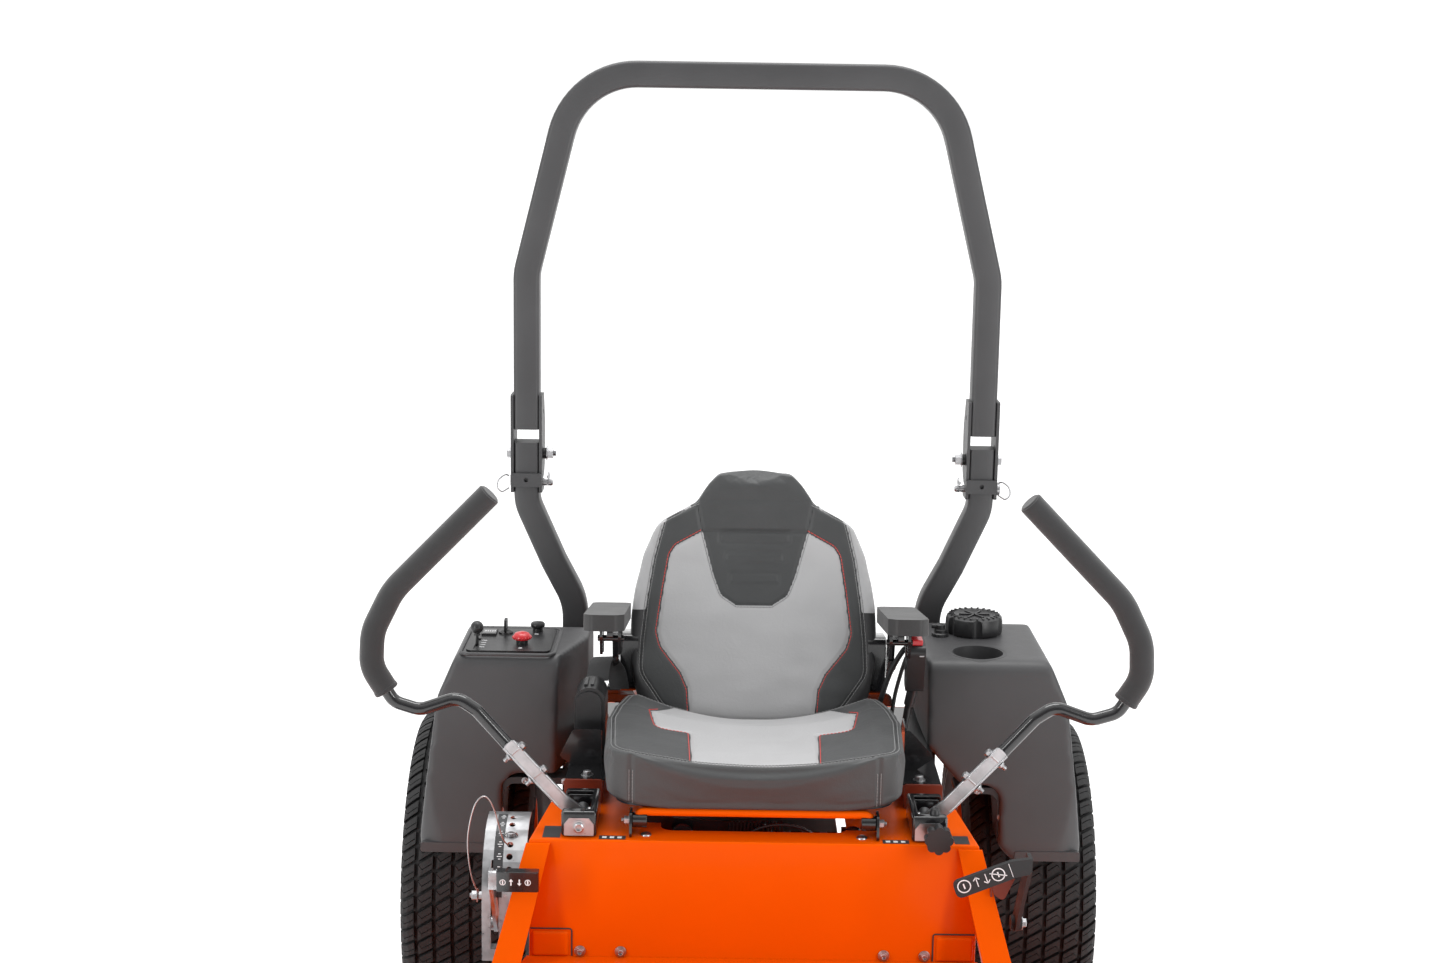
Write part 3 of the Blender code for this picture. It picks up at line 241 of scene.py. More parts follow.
RED_THREAD = finish(
    "red_thread", (0.62, 0.03, 0.02), 0.7, grain=2500.0, depth=0.0002, strength=0.8, sheen=0.3,
)
GREY_THREAD = finish("grey_thread", (0.2, 0.2, 0.2), 0.7, grain=2500.0, depth=0.0002, strength=0.8, sheen=0.3)
LABEL_DARK = finish("label_film", (0.03, 0.03, 0.032), 0.32, grain=90.0, depth=0.00002)
LABEL_MARK = finish("label_mark", (0.75, 0.75, 0.76), 0.42, grain=200.0, depth=0.00002)
MATT_BLACK = finish(
    "matt_black", (0.03, 0.03, 0.031), 0.62, grain=420.0, depth=0.0001, strength=0.3, shine=0.22,
)
SHADED_ORANGE = finish(
    "orange_in_shade", (0.17, 0.024, 0.008), 0.4, grain=260.0, depth=0.00008, strength=0.25, spread=0.05,
)
CHARCOAL_DARK = finish("weld_edge", (0.03, 0.03, 0.031), 0.5, grain=800.0, depth=0.0003)
BRAID = finish("loom_wrap", (0.02, 0.02, 0.021), 0.62, grain=1800.0, depth=0.0005, strength=0.7)


# ---- shapes ----
def rounded(points, radius, closed=True, finest=0.004):
    """The outline or path with its corners turned into arcs, of one radius or of one for each point."""
    count = len(points)
    radii = radius if isinstance(radius, (list, tuple)) else [radius] * count
    made = []
    for i, point in enumerate(points):
        corner = Vector(point)
        if radii[i] == 0 or (not closed and i in (0, count - 1)):
            made.append(corner)
            continue
        back = Vector(points[i - 1]) - corner
        ahead = Vector(points[(i + 1) % count]) - corner
        half = back.angle(ahead) / 2
        reach = radii[i] / math.tan(half)
        middle = corner + (back.normalized() + ahead.normalized()).normalized() * radii[i] / math.sin(half)
        start = corner + back.normalized() * reach - middle
        end = corner + ahead.normalized() * reach - middle
        sweep = start.angle(end)
        steps = max(3, min(14, round(sweep * radii[i] / finest)))
        for k in range(steps + 1):
            t = k / steps
            mix = math.sin((1 - t) * sweep) * start + math.sin(t * sweep) * end
            made.append(middle + mix / math.sin(sweep))
    return made


def turns(count):
    """The angles of count equal steps round a circle."""
    return [2 * math.pi * k / count for k in range(count)]


def circle(centre, radius, steps=28):
    """The corners of a round outline."""
    return [(centre[0] + radius * math.cos(t), centre[1] + radius * math.sin(t)) for t in turns(steps)]


def mirrored(points, side):
    """Points given for the operator's left, put on either side."""
    return [(side * point[0], *point[1:]) for point in points]


def span(side, near, far):
    """(lowest, highest) X of a stretch between two distances from the middle."""
    return (near, far) if side > 0 else (-far, -near)


def add_block(bm, place, size):
    """A block of the given size, turned and put down by a matrix."""
    bmesh.ops.create_cube(bm, size=1.0, matrix=place @ Matrix.Diagonal((*size, 1.0)))


def add_box(bm, low, high):
    """A block square to the axes, between two corners."""
    low, high = Vector(low), Vector(high)
    add_block(bm, Matrix.Translation((low + high) / 2), high - low)


def add_rod(bm, start, end, radius, radius_end=None, segments=28):
    """A round bar, or a cone if it ends in another radius."""
    start, end = Vector(start), Vector(end)
    axis = end - start
    place = Matrix.Translation((start + end) / 2) @ axis.to_track_quat("Z", "Y").to_matrix().to_4x4()
    last = radius if radius_end is None else radius_end
    bmesh.ops.create_cone(
        bm, cap_ends=True, segments=segments, radius1=radius, radius2=last, depth=axis.length, matrix=place
    )


def add_ball(bm, centre, radius, segments=24):
    """A ball."""
    place = Matrix.Translation(centre)
    bmesh.ops.create_uvsphere(bm, u_segments=segments, v_segments=segments // 2, radius=radius, matrix=place)


PLANES = {
    "X": Matrix(((0, 0, 1, 0), (1, 0, 0, 0), (0, 1, 0, 0), (0, 0, 0, 1))),
    "Y": Matrix(((1, 0, 0, 0), (0, 0, 1, 0), (0, 1, 0, 0), (0, 0, 0, 1))),
    "Z": Matrix.Identity(4),
}


def add_flat(bm, axis, outline, low, high, holes=()):
    """An outline extruded along an axis, from low to high. It is (Y, Z) for X, (X, Z) for Y, (X, Y) for Z."""
    edges = []
    for points in (outline, *holes):
        ring = [bm.verts.new(PLANES[axis] @ Vector((*point[:2], low))) for point in points]
        edges += [bm.edges.new((ring[i - 1], ring[i])) for i in range(len(ring))]
    filled = bmesh.ops.triangle_fill(bm, use_beauty=True, edges=edges)
    faces = [g for g in filled["geom"] if isinstance(g, bmesh.types.BMFace)]
    grown = bmesh.ops.extrude_face_region(bm, geom=faces)
    shift = PLANES[axis] @ Vector((0, 0, high - low))
    moved = [g for g in grown["geom"] if isinstance(g, bmesh.types.BMVert)]
    bmesh.ops.translate(bm, verts=moved, vec=shift)


def add_sweep(bm, path, section, closed=False, up=None):
    """A section of (side, up) pairs carried along a path. up fixes the section's second axis."""
    path = [Vector(p) for p in path]
    count, rings, across = len(path), [], None
    for i, point in enumerate(path):
        before = path[i - 1] if (i or closed) else point
        after = path[(i + 1) % count] if (i < count - 1 or closed) else point
        ahead = (after - before).normalized()
        if up is not None:
            rise = Vector(up)
            across = ahead.cross(rise).normalized()
        else:
            start = across if across is not None else ahead.orthogonal()
            across = (start - ahead * start.dot(ahead)).normalized()
            rise = across.cross(ahead)
        first = (point - path[i - 1]).normalized() if (i or closed) else ahead
        mitre = 1 / max(0.5, first.dot(ahead))
        rings.append([bm.verts.new(point + across * a * mitre + rise * b) for a, b in section])
    for i in range(count if closed else count - 1):
        one, two = rings[i], rings[(i + 1) % count]
        for k in range(len(section)):
            bm.faces.new((one[k - 1], one[k], two[k], two[k - 1]))
    if not closed:
        bm.faces.new(rings[0][::-1])
        bm.faces.new(rings[-1])


def add_tube(bm, path, radius, sides=16, closed=False):
    """A round section carried along a path."""
    add_sweep(bm, path, circle((0, 0), radius, sides), closed)


def smooth_path(points, steps=6):
    """A curve through given points, with steps stretches between each two."""
    points = [Vector(p) for p in points]
    ends = [2 * points[0] - points[1], *points, 2 * points[-1] - points[-2]]
    made = []
    for i in range(1, len(ends) - 2):
        a, b, c, d = ends[i - 1 : i + 3]
        for k in range(steps):
            t = k / steps
            bend = (2 * a - 5 * b + 4 * c - d) * t * t + (3 * b - 3 * c + d - a) * t**3
            made.append(b + ((c - a) * t + bend) / 2)
    return [*made, points[-1]]


def add_turned(bm, profile, centre, axis="Z", steps=48, closed=False):
    """A profile of (radius, height) pairs turned about an axis through centre."""
    lay = {"X": Matrix.Rotation(math.pi / 2, 4, "Y"), "Y": Matrix.Rotation(-math.pi / 2, 4, "X")}
    place = Matrix.Translation(centre) @ lay.get(axis, Matrix.Identity(4))
    rings = []
    for radius, height in profile:
        points = [
            (*point, height)
            for point in circle((0, 0), radius, steps)
        ] if radius > 1e-6 else [(0, 0, height)]
        rings.append([bm.verts.new(place @ Vector(point)) for point in points])
    if closed:
        rings.append(rings[0])
    for one, two in zip(rings, rings[1:]):
        for k in range(steps if len(one) + len(two) > 2 else 0):
            foot = [one[k - 1], one[k]] if len(one) > 1 else one
            bm.faces.new(foot + ([two[k], two[k - 1]] if len(two) > 1 else two))


THREAD = 0.0014


def add_bolt(bm, at, axis, across, height, washer=0.0012, tail=0.0):
    """A washer and hex head or nut standing on a surface, with a threaded end if tail is set."""
    at, axis = Vector(at), Vector(axis).normalized()
    top = at + axis * (washer + height)
    add_rod(bm, at, at + axis * washer, across * 0.82)
    add_rod(bm, at + axis * washer, top, across * 0.577, segments=6)
    add_rod(bm, top, top + axis * 0.0006, across * 0.44, across * 0.36)
    for k in range(int(tail / THREAD)):
        base = top + axis * THREAD * k
        add_rod(bm, base, base + axis * 0.0008, across * 0.3, segments=16)
        add_rod(bm, base + axis * 0.0007, base + axis * 0.0015, across * 0.26, segments=16)


def add_button_bolt(bm, at, axis, radius, height=0.005):
    """A round socket-head bolt: a domed rim round a round recess."""
    profile = [
        (1.35, 0), (1.35, 0.2), (1.0, 0.22), (0.97, 0.7), (0.72, 1.0), (0.5, 0.98), (0.45, 0.35), (0, 0.35),
    ]
    fresh = bmesh.new()
    add_turned(fresh, [(radius * r, height * h) for r, h in profile], (0, 0, 0), steps=24)
    fresh.transform(Matrix.Translation(at) @ Vector(axis).to_track_quat("Z", "Y").to_matrix().to_4x4())
    merge_into(bm, fresh)


def merge_into(bm, fresh):
    """Adds one bmesh to another."""
    mesh = bpy.data.meshes.new("scratch")
    fresh.to_mesh(mesh)
    fresh.free()
    bm.from_mesh(mesh)
    bpy.data.meshes.remove(mesh)


# ---- pieces ----
def soften(obj, width, segments, angle):
    """A bevel along the edges that are sharper than angle."""
    edges = obj.modifiers.new("edges", "BEVEL")
    edges.width, edges.segments = width, segments
    edges.limit_method = "ANGLE"
    edges.angle_limit = math.radians(angle)
    return edges


def piece(name, bm, slot, body, nodes=(), bevel=0.0, segments=2, material=None, sharp=38, weld=1e-5):
    """A finished piece from a mesh in machine coordinates."""
    if weld:
        bmesh.ops.remove_doubles(bm, verts=bm.verts, dist=weld)
    bmesh.ops.recalc_face_normals(bm, faces=bm.faces)
    mesh = bpy.data.meshes.new(name)
    bm.to_mesh(mesh)
    bm.free()
    mesh.shade_smooth()
    mesh.set_sharp_from_angle(angle=math.radians(sharp))
    mesh.materials.append(material or MATS[slot])
    obj = bpy.data.objects.new(name, mesh)
    bpy.context.scene.collection.objects.link(obj)
    obj.location = DATUM
    if bevel:
        soften(obj, bevel, segments, 35).harden_normals = True
    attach(obj, body)
    if nodes:
        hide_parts(*nodes)
    return obj


def body_of(node):
    """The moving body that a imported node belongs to."""
    return NODES[node]["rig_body"]


def clean_copy(node):
    """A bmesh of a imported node, welded and with its flat faces whole, in machine coordinates."""
    bm = bmesh.new()
    bm.from_mesh(NODES[node].data)
    bmesh.ops.remove_doubles(bm, verts=bm.verts, dist=2e-5)
    bmesh.ops.dissolve_limit(bm, angle_limit=math.radians(0.6), verts=bm.verts, edges=bm.edges)
    bm.transform(Matrix.Translation(-DATUM))
    return bm


def refined(node, bevel, segments=2):
    """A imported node's own shape with rounded edges and a finished surface."""
    shape = clean_copy(node)
    return piece(node + "_skin", shape, SLOT_OF[node], body_of(node), [node], bevel, segments, weld=0)


def evaluated_mesh(obj):
    """A new mesh, with the object's modifiers applied."""
    graph = bpy.context.evaluated_depsgraph_get()
    return bpy.data.meshes.new_from_object(obj.evaluated_get(graph))


def temporary(bm):
    """A scratch object, for modifiers to work on."""
    bmesh.ops.recalc_face_normals(bm, faces=bm.faces)
    mesh = bpy.data.meshes.new("scratch")
    bm.to_mesh(mesh)
    bm.free()
    obj = bpy.data.objects.new("scratch", mesh)
    bpy.context.scene.collection.objects.link(obj)
    return obj


def drop(obj):
    """Deletes a scratch object and its mesh."""
    mesh = obj.data
    bpy.data.objects.remove(obj, do_unlink=True)
    bpy.data.meshes.remove(mesh)


def bake(obj):
    """Applies every modifier."""
    made = evaluated_mesh(obj)
    old = obj.data
    obj.modifiers.clear()
    obj.data = made
    bpy.data.meshes.remove(old)


def boolean(obj, cutter, operation):
    """Cuts or trims the object with another, which is used up."""
    tool = obj.modifiers.new(operation.lower(), "BOOLEAN")
    tool.operation = operation
    tool.solver = "EXACT"
    tool.object = cutter
    bake(obj)
    drop(cutter)


def remesh(obj, voxel, rounds=0, factor=0.5):
    """Even quads of one size, then smoothed."""
    grid = obj.modifiers.new("grid", "REMESH")
    grid.mode = "VOXEL"
    grid.voxel_size = voxel
    if rounds:
        calm = obj.modifiers.new("calm", "SMOOTH")
        calm.factor = factor
        calm.iterations = rounds
    bake(obj)


def bmesh_of(obj):
    """The mesh of a scratch object, which is used up."""
    bm = bmesh.new()
    bm.from_mesh(obj.data)
    drop(obj)
    return bm


# ---- stage ----
def add_light(name, size, energy, at, towards):
    """A rectangular lamp of a width and height, in watts."""
    data = bpy.data.lights.new(name, "AREA")
    data.shape = "RECTANGLE"
    data.size, data.size_y = size
    data.energy = energy
    lamp = bpy.data.objects.new(name, data)
    lamp.location = Vector(at)
    lamp.rotation_euler = (Vector(towards) - Vector(at)).to_track_quat("-Z", "Y").to_euler()
    bpy.context.scene.collection.objects.link(lamp)


def build_stage():
    """A pale floor, a white sky brighter behind and above, soft lamps and the camera."""
    scene = bpy.context.scene
    # The Standard view keeps the paint's full orange, which the default view fades.
    scene.view_settings.view_transform = "Standard"
    world = bpy.data.worlds.new("studio")
    scene.world = world
    world.use_nodes = True
    nodes, links = world.node_tree.nodes, world.node_tree.links
    back = nodes["Background"]
    back.inputs["Color"].default_value = (1.0, 1.0, 1.0, 1)
    direction = nodes.new("ShaderNodeTexCoord")
    parts = nodes.new("ShaderNodeSeparateXYZ")
    links.new(direction.outputs["Generated"], parts.inputs["Vector"])
    total = nodes.new("ShaderNodeMath")
    links.new(mapped(nodes, links, parts.outputs["Y"], -0.75, 0.25, 0.3, 1.05, "SMOOTHSTEP"), total.inputs[0])
    links.new(mapped(nodes, links, parts.outputs["Z"], 0.35, 0.95, 0.0, 0.75, "SMOOTHSTEP"), total.inputs[1])
    links.new(total.outputs["Value"], back.inputs["Strength"])
    bm = bmesh.new()
    bmesh.ops.create_circle(bm, cap_ends=True, segments=96, radius=80.0)
    mesh = bpy.data.meshes.new("floor")
    bm.to_mesh(mesh)
    bm.free()
    made, nodes, links, shader = new_material("pale_floor")
    links.new(mottled(nodes, links, (0.86, 0.86, 0.86), 0.6, 0.02), shader.inputs["Base Color"])
    shader.inputs["Roughness"].default_value = 0.9
    shader.inputs["Emission Color"].default_value = (1, 1, 1, 1)
    shader.inputs["Emission Strength"].default_value = 0.3
    mesh.materials.append(made)
    floor = bpy.data.objects.new("floor", mesh)
    floor.location = (0, 0, -0.0005)
    scene.collection.objects.link(floor)
    add_light("key_left", (0.45, 2.6), 52.0, (-2.7, -2.7, 1.75), (0, 0, 0.85))
    add_light("key_right", (0.45, 2.6), 52.0, (2.8, -2.6, 1.75), (0, 0, 0.85))
    add_light("top", (2.4, 1.0), 45.0, (0.1, 0.5, 3.8), (0.1, 0.1, 0.8))
    view = bpy.data.cameras.new("camera")
    view.lens = 51.62
    view.sensor_width = 36
    view.clip_end = 200
    camera = bpy.data.objects.new("camera", view)
    turn = Matrix.Rotation(math.radians(79.45), 4, "X") @ Matrix.Rotation(math.radians(0.9), 4, "Z")
    camera.matrix_world = Matrix.Translation((0.061, -3.461, 1.79)) @ turn
    scene.collection.objects.link(camera)
    scene.camera = camera


build_stage()


# ---- roll bar ----
TUBE_HALF = 0.024
ROPS_X = 0.4275
HINGE_Z = 1.122
PIN_Z = 1.066
LEAVE = 0.0078


def square(half, radius=0.007):
    """The section of a square tube, from half its width and its corner radius."""
    return [tuple(p) for p in rounded([(-half, -half), (half, -half), (half, half), (-half, half)], radius)]


def pin_slot():
    """(Y, Z) outline of the slot that the lock pin leaves by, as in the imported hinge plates."""
    reach = HINGE_Z - PIN_Z
    turns = [math.radians(5 * k) for k in range(17)]
    inner = [((reach - LEAVE) * math.sin(t), HINGE_Z - (reach - LEAVE) * math.cos(t)) for t in turns]
    outer = [((reach + LEAVE) * math.sin(t), HINGE_Z - (reach + LEAVE) * math.cos(t)) for t in turns]
    return inner + outer[::-1]


def build_hoop():
    """The folding hoop with its hinge plates, stop straps, bolts and spacers."""
    half = [(ROPS_X, 0, 1.17), (ROPS_X, 0, 1.462), (0.3365, 0, 1.826)]
    path = half + [(-x, y, z) for x, y, z in reversed(half)]
    bm = bmesh.new()
    add_sweep(
        bm, rounded(path, [0, 0.1, 0.143, 0.143, 0.1, 0], closed=False, finest=0.012), square(TUBE_HALF),
        up=(0, 1, 0),
    )
    piece("hoop_tube", bm, "charcoal_coat", "roll_hoop", ["rops_hoop"], sharp=50)
    outline = [
        (-0.0245, 1.05), (0.024, 1.05), (0.04, 1.08), (0.047, 1.15), (0.047, 1.18), (0.024, 1.235), (
            -0.0245, 1.235,
        ),
    ]
    outline = rounded(outline, [0.003, 0.008, 0.012, 0.01, 0.012, 0.004, 0.003])
    plates, slots, bores = bmesh.new(), bmesh.new(), bmesh.new()
    for side in (-1, 1):
        centre = side * ROPS_X
        for low in (centre - TUBE_HALF - 0.0053, centre + TUBE_HALF - 0.0002):
            add_flat(plates, "X", outline, low, low + 0.0055, [circle((0.012, 1.2), 0.005, 20)])
            add_flat(slots, "X", pin_slot(), low - 0.001, low + 0.0065)
            add_rod(bores, (low - 0.001, 0, PIN_Z), (low + 0.0065, 0, PIN_Z), 0.007, segments=24)
    ears = temporary(plates)
    boolean(ears, temporary(slots), "DIFFERENCE")
    boolean(ears, temporary(bores), "DIFFERENCE")
    bm = bmesh_of(ears)
    reach = TUBE_HALF + 0.0053
    for side in (-1, 1):
        centre = side * ROPS_X
        strap = [(-reach, 1.0655), (-reach + 0.0035, 1.062), (reach - 0.0035, 1.062), (reach, 1.0655)]
        strap += [(reach, 1.0845), (reach - 0.0035, 1.088), (-reach + 0.0035, 1.088), (-reach, 1.0845)]
        strap = [(centre + x, z) for x, z in strap]
        add_flat(bm, "Y", strap, -0.0305, -0.0245, [circle((centre, 1.0755), 0.0042, 20)])
    piece("hinge_plates", bm, "charcoal_coat", "roll_hoop", bevel=0.0009)
    bm = bmesh.new()
    spacers = bmesh.new()
    for side in (-1, 1):
        centre = side * ROPS_X
        outer = centre + side * (TUBE_HALF + 0.0054)
        inner = centre - side * (TUBE_HALF + 0.0054)
        add_bolt(bm, (outer, 0, HINGE_Z), (side, 0, 0), 0.017, 0.0075)
        add_rod(spacers, (inner, 0, HINGE_Z), (inner - side * 0.007, 0, HINGE_Z), 0.0105)
        add_bolt(bm, (inner - side * 0.007, 0, HINGE_Z), (-side, 0, 0), 0.0175, 0.011, tail=0.006)
        add_rod(bm, (outer - side * 0.002, 0.012, 1.2), (outer - side * 0.0065, 0.012, 1.2), 0.0046)
    piece("hinge_bolts", bm, "zinc", "roll_hoop", bevel=0.0004)
    piece("hinge_spacers", spacers, "black_plastic", "roll_hoop", bevel=0.0006)


def build_posts():
    """The two cranked posts, each with its foot plate."""
    for name, side in SIDES:
        path = [
            (0.336, 0, 0.432), (0.336, 0, 0.838), (0.377, 0, 0.916), (ROPS_X, 0, 1.03), (ROPS_X, 0, 1.145),
        ]
        path = rounded(mirrored(path, side), [0, 0.12, 0.0, 0.08, 0], closed=False, finest=0.008)
        bm = bmesh.new()
        add_sweep(bm, path, square(0.0235), up=(0, 1, 0))
        low, high = span(side, 0.312, 0.36)
        add_box(bm, (low, -0.024, 0.4305), (high, 0.024, 0.436))
        piece(f"{name}_post_tube", bm, "charcoal_coat", "chassis", [f"{name}_rops_post"], sharp=50)


def build_lock_pins():
    """Each pin's shank, head, teardrop ring and the hairpin clip that keeps it in."""
    for name, side in SIDES:
        outer = side * (ROPS_X + TUBE_HALF + 0.0065)
        inner = side * (ROPS_X - 0.045)
        bm = bmesh.new()
        add_rod(bm, (outer, 0, PIN_Z), (inner, 0, PIN_Z), 0.0062)
        add_rod(bm, (inner, 0, PIN_Z), (inner - side * 0.003, 0, PIN_Z), 0.0062, 0.0042)
        add_turned(
            bm, [(0, 0), (0.0113, 0.0005), (0.0115, 0.0055), (0.0098, 0.007), (0, 0.0072)], (outer, 0, PIN_Z),
            "X", 32,
        )
        if side < 0:
            bmesh.ops.recalc_face_normals(bm, faces=bm.faces)
        ring = smooth_path([
            (outer + side * 0.0045, 0, PIN_Z + 0.012), (outer + side * 0.012, -0.004, PIN_Z + 0.014),
            (outer + side * 0.024, -0.006, PIN_Z + 0.004), (outer + side * 0.026, -0.006, PIN_Z - 0.01),
            (outer + side * 0.018, -0.004, PIN_Z - 0.018), (outer + side * 0.009, -0.002, PIN_Z - 0.014),
            (outer + side * 0.0045, 0, PIN_Z - 0.011),
        ])
        add_tube(bm, ring, 0.0014, 12)
        clip = inner + side * 0.006
        hairpin = smooth_path([
            (clip, -0.017, PIN_Z - 0.002), (clip, 0.004, PIN_Z), (clip, 0.016, PIN_Z + 0.001),
            (clip, 0.023, PIN_Z + 0.009), (clip, 0.017, PIN_Z + 0.017), (clip, 0.009, PIN_Z + 0.012),
            (clip, 0.001, PIN_Z + 0.0085), (clip, -0.008, PIN_Z + 0.011), (clip, -0.016, PIN_Z + 0.015),
        ])
        add_tube(bm, hairpin, 0.0013, 12)
        piece(f"{name}_pin_and_clip", bm, "zinc", f"{name}_hoop_pin", [f"{name}_lock_pin"], weld=0)


# ---- fender console and tank ----
FENDER_TOP = 0.82
FENDER_FRONT = -0.362
FENDER_OUTER = [(0.52, 0.825), (0.556, 0.742), (0.587, 0.49), (0.587, 0.465), (0.462, 0.465), (0.44, 0.49)]
CUP = (0.401, -0.272)
FILLER = (0.41, -0.13)


def fender_shape(side, front_view, inner_front, crest):
    """The moulded body: three crossed outlines, softened all over."""
    bm = bmesh.new()
    add_flat(bm, "Y", mirrored(front_view, side), FENDER_FRONT - 0.002, 0.24)
    body = temporary(bm)
    plan = [
        (
            inner_front, FENDER_FRONT - 0.002,
        ), (0.602, FENDER_FRONT - 0.002), (0.602, 0.24), (0.37, 0.24), (0.37, -0.035),
        (0.298, -0.035), (0.298, -0.2),
    ]
    plan = rounded(plan, [0.02, 0.06, 0.08, 0.01, 0.004, 0.01, 0])
    bm = bmesh.new()
    add_flat(bm, "Z", mirrored(plan, side), 0.4, 0.9)
    boolean(body, temporary(bm), "INTERSECT")
    profile = [
        (FENDER_FRONT - 0.002, 0.44), (FENDER_FRONT - 0.002, 0.5), (-0.338, FENDER_TOP + 0.001),
        (crest, FENDER_TOP + 0.001), (0.245, 0.721), (0.245, 0.44),
    ]
    profile = rounded(profile, [0, 0, 0.024, 0.12, 0.05, 0])
    bm = bmesh.new()
    add_flat(bm, "X", profile, *span(side, 0.2, 0.7))
    boolean(body, temporary(bm), "INTERSECT")
    remesh(body, 0.0045, 9)
    return body


def cut_arch(body, side):
    """Clears the rear tyre out of a fender."""
    bm = bmesh.new()
    add_rod(bm, (side * 0.2, 0, 0.305), (side * 0.8, 0, 0.305), 0.333, segments=96)
    boolean(body, temporary(bm), "DIFFERENCE")


def lip_band(bm, side):
    """The set-out band along the foot of the fender's front and its outer flange."""
    face = FENDER_FRONT - 0.0035
    low, high = span(side, 0.468, 0.5835)
    add_flat(
        bm, "Y", rounded([(low, 0.466), (high, 0.466), (high, 0.4835), (low, 0.4835)], 0.004), face,
        face + 0.012,
    )
    low, high = span(side, 0.576, 0.5885)
    add_box(bm, (low, -0.31, 0.466), (high, -0.262, 0.4835))


LINER_RADII = [0.003, 0.02, 0.02, 0.003, 0.003, 0.012, 0.012, 0.003]
LINER_FRONT, LINER_BACK = -0.346, -0.29


def build_liner(name, outline, screws):
    """The black strip between a fender and the seat box, and the screws that hold it."""
    bm = bmesh.new()
    add_flat(bm, "Y", rounded(outline, LINER_RADII), LINER_FRONT, LINER_BACK)
    piece(f"{name}_liner", bm, "black_plastic", "chassis", bevel=0.002)
    bm = bmesh.new()
    for x, z in screws:
        add_button_bolt(bm, (x, LINER_FRONT - 0.0005, z), (0, -1, 0), 0.0045, 0.0036)
    piece(f"{name}_screws", bm, "zinc", "chassis", bevel=0.0003)


def build_console():
    """The console on the operator's right, with its black panel; its hand controls are made by
    build_hand_controls.
    """
    front = [(0.29, 0.825), *FENDER_OUTER, (0.44, 0.608), (0.29, 0.608)]
    front = rounded(front, [0, 0.03, 0.08, 0.01, 0.014, 0.014, 0.012, 0.03, 0.008])
    body = fender_shape(-1, front, 0.35, -0.14)
    cut_arch(body, -1)
    bm = bmesh_of(body)
    lip_band(bm, -1)
    rim = [
        (-0.515, -0.335, 0.8205), (-0.515, -0.155, 0.8205), (-0.35, -0.155, 0.8205), (-0.35, -0.335, 0.8205),
    ]
    add_sweep(bm, rounded(rim, 0.016), circle((0, 0), 0.0032, 12), closed=True)
    piece("console_moulding", bm, "moulded_plastic", "chassis", ["right_fender_console"], sharp=42)
    outline = [
        (-0.3, 0.6), (-0.43, 0.6), (-0.449, 0.58), (-0.449, 0.5), (-0.437, 0.5), (
            -0.437, 0.575,
        ), (-0.425, 0.588),
        (-0.3, 0.588),
    ]
    build_liner("console", outline, ((-0.33, 0.594), (-0.4, 0.594), (-0.443, 0.54)))
    refined("control_panel", 0.0016, 3)
    bm = bmesh.new()
    add_box(bm, (-0.4885, -0.218, 0.8275), (-0.4655, -0.19, 0.8286))
    piece("meter_window", bm, "black_paint", "chassis", bevel=0.0006)
    bm = bmesh.new()
    for k in range(5):
        x = -0.485 + 0.0042 * k
        add_box(bm, (x, -0.207, 0.8286), (x + 0.0022, -0.202, 0.8288))
    for y in (-0.3, -0.285, -0.27, -0.255):
        add_box(bm, (-0.4845, y, 0.8239), (-0.476, y + 0.0022, 0.8243))
    for x, y in ((-0.412, -0.303), (-0.392, -0.205), (-0.43, -0.222)):
        add_flat(bm, "Z", circle((x, y), 0.0034, 20), 0.8239, 0.8243, [circle((x, y), 0.0022, 20)])
    piece("panel_marks", bm, None, "chassis", material=LABEL_MARK)


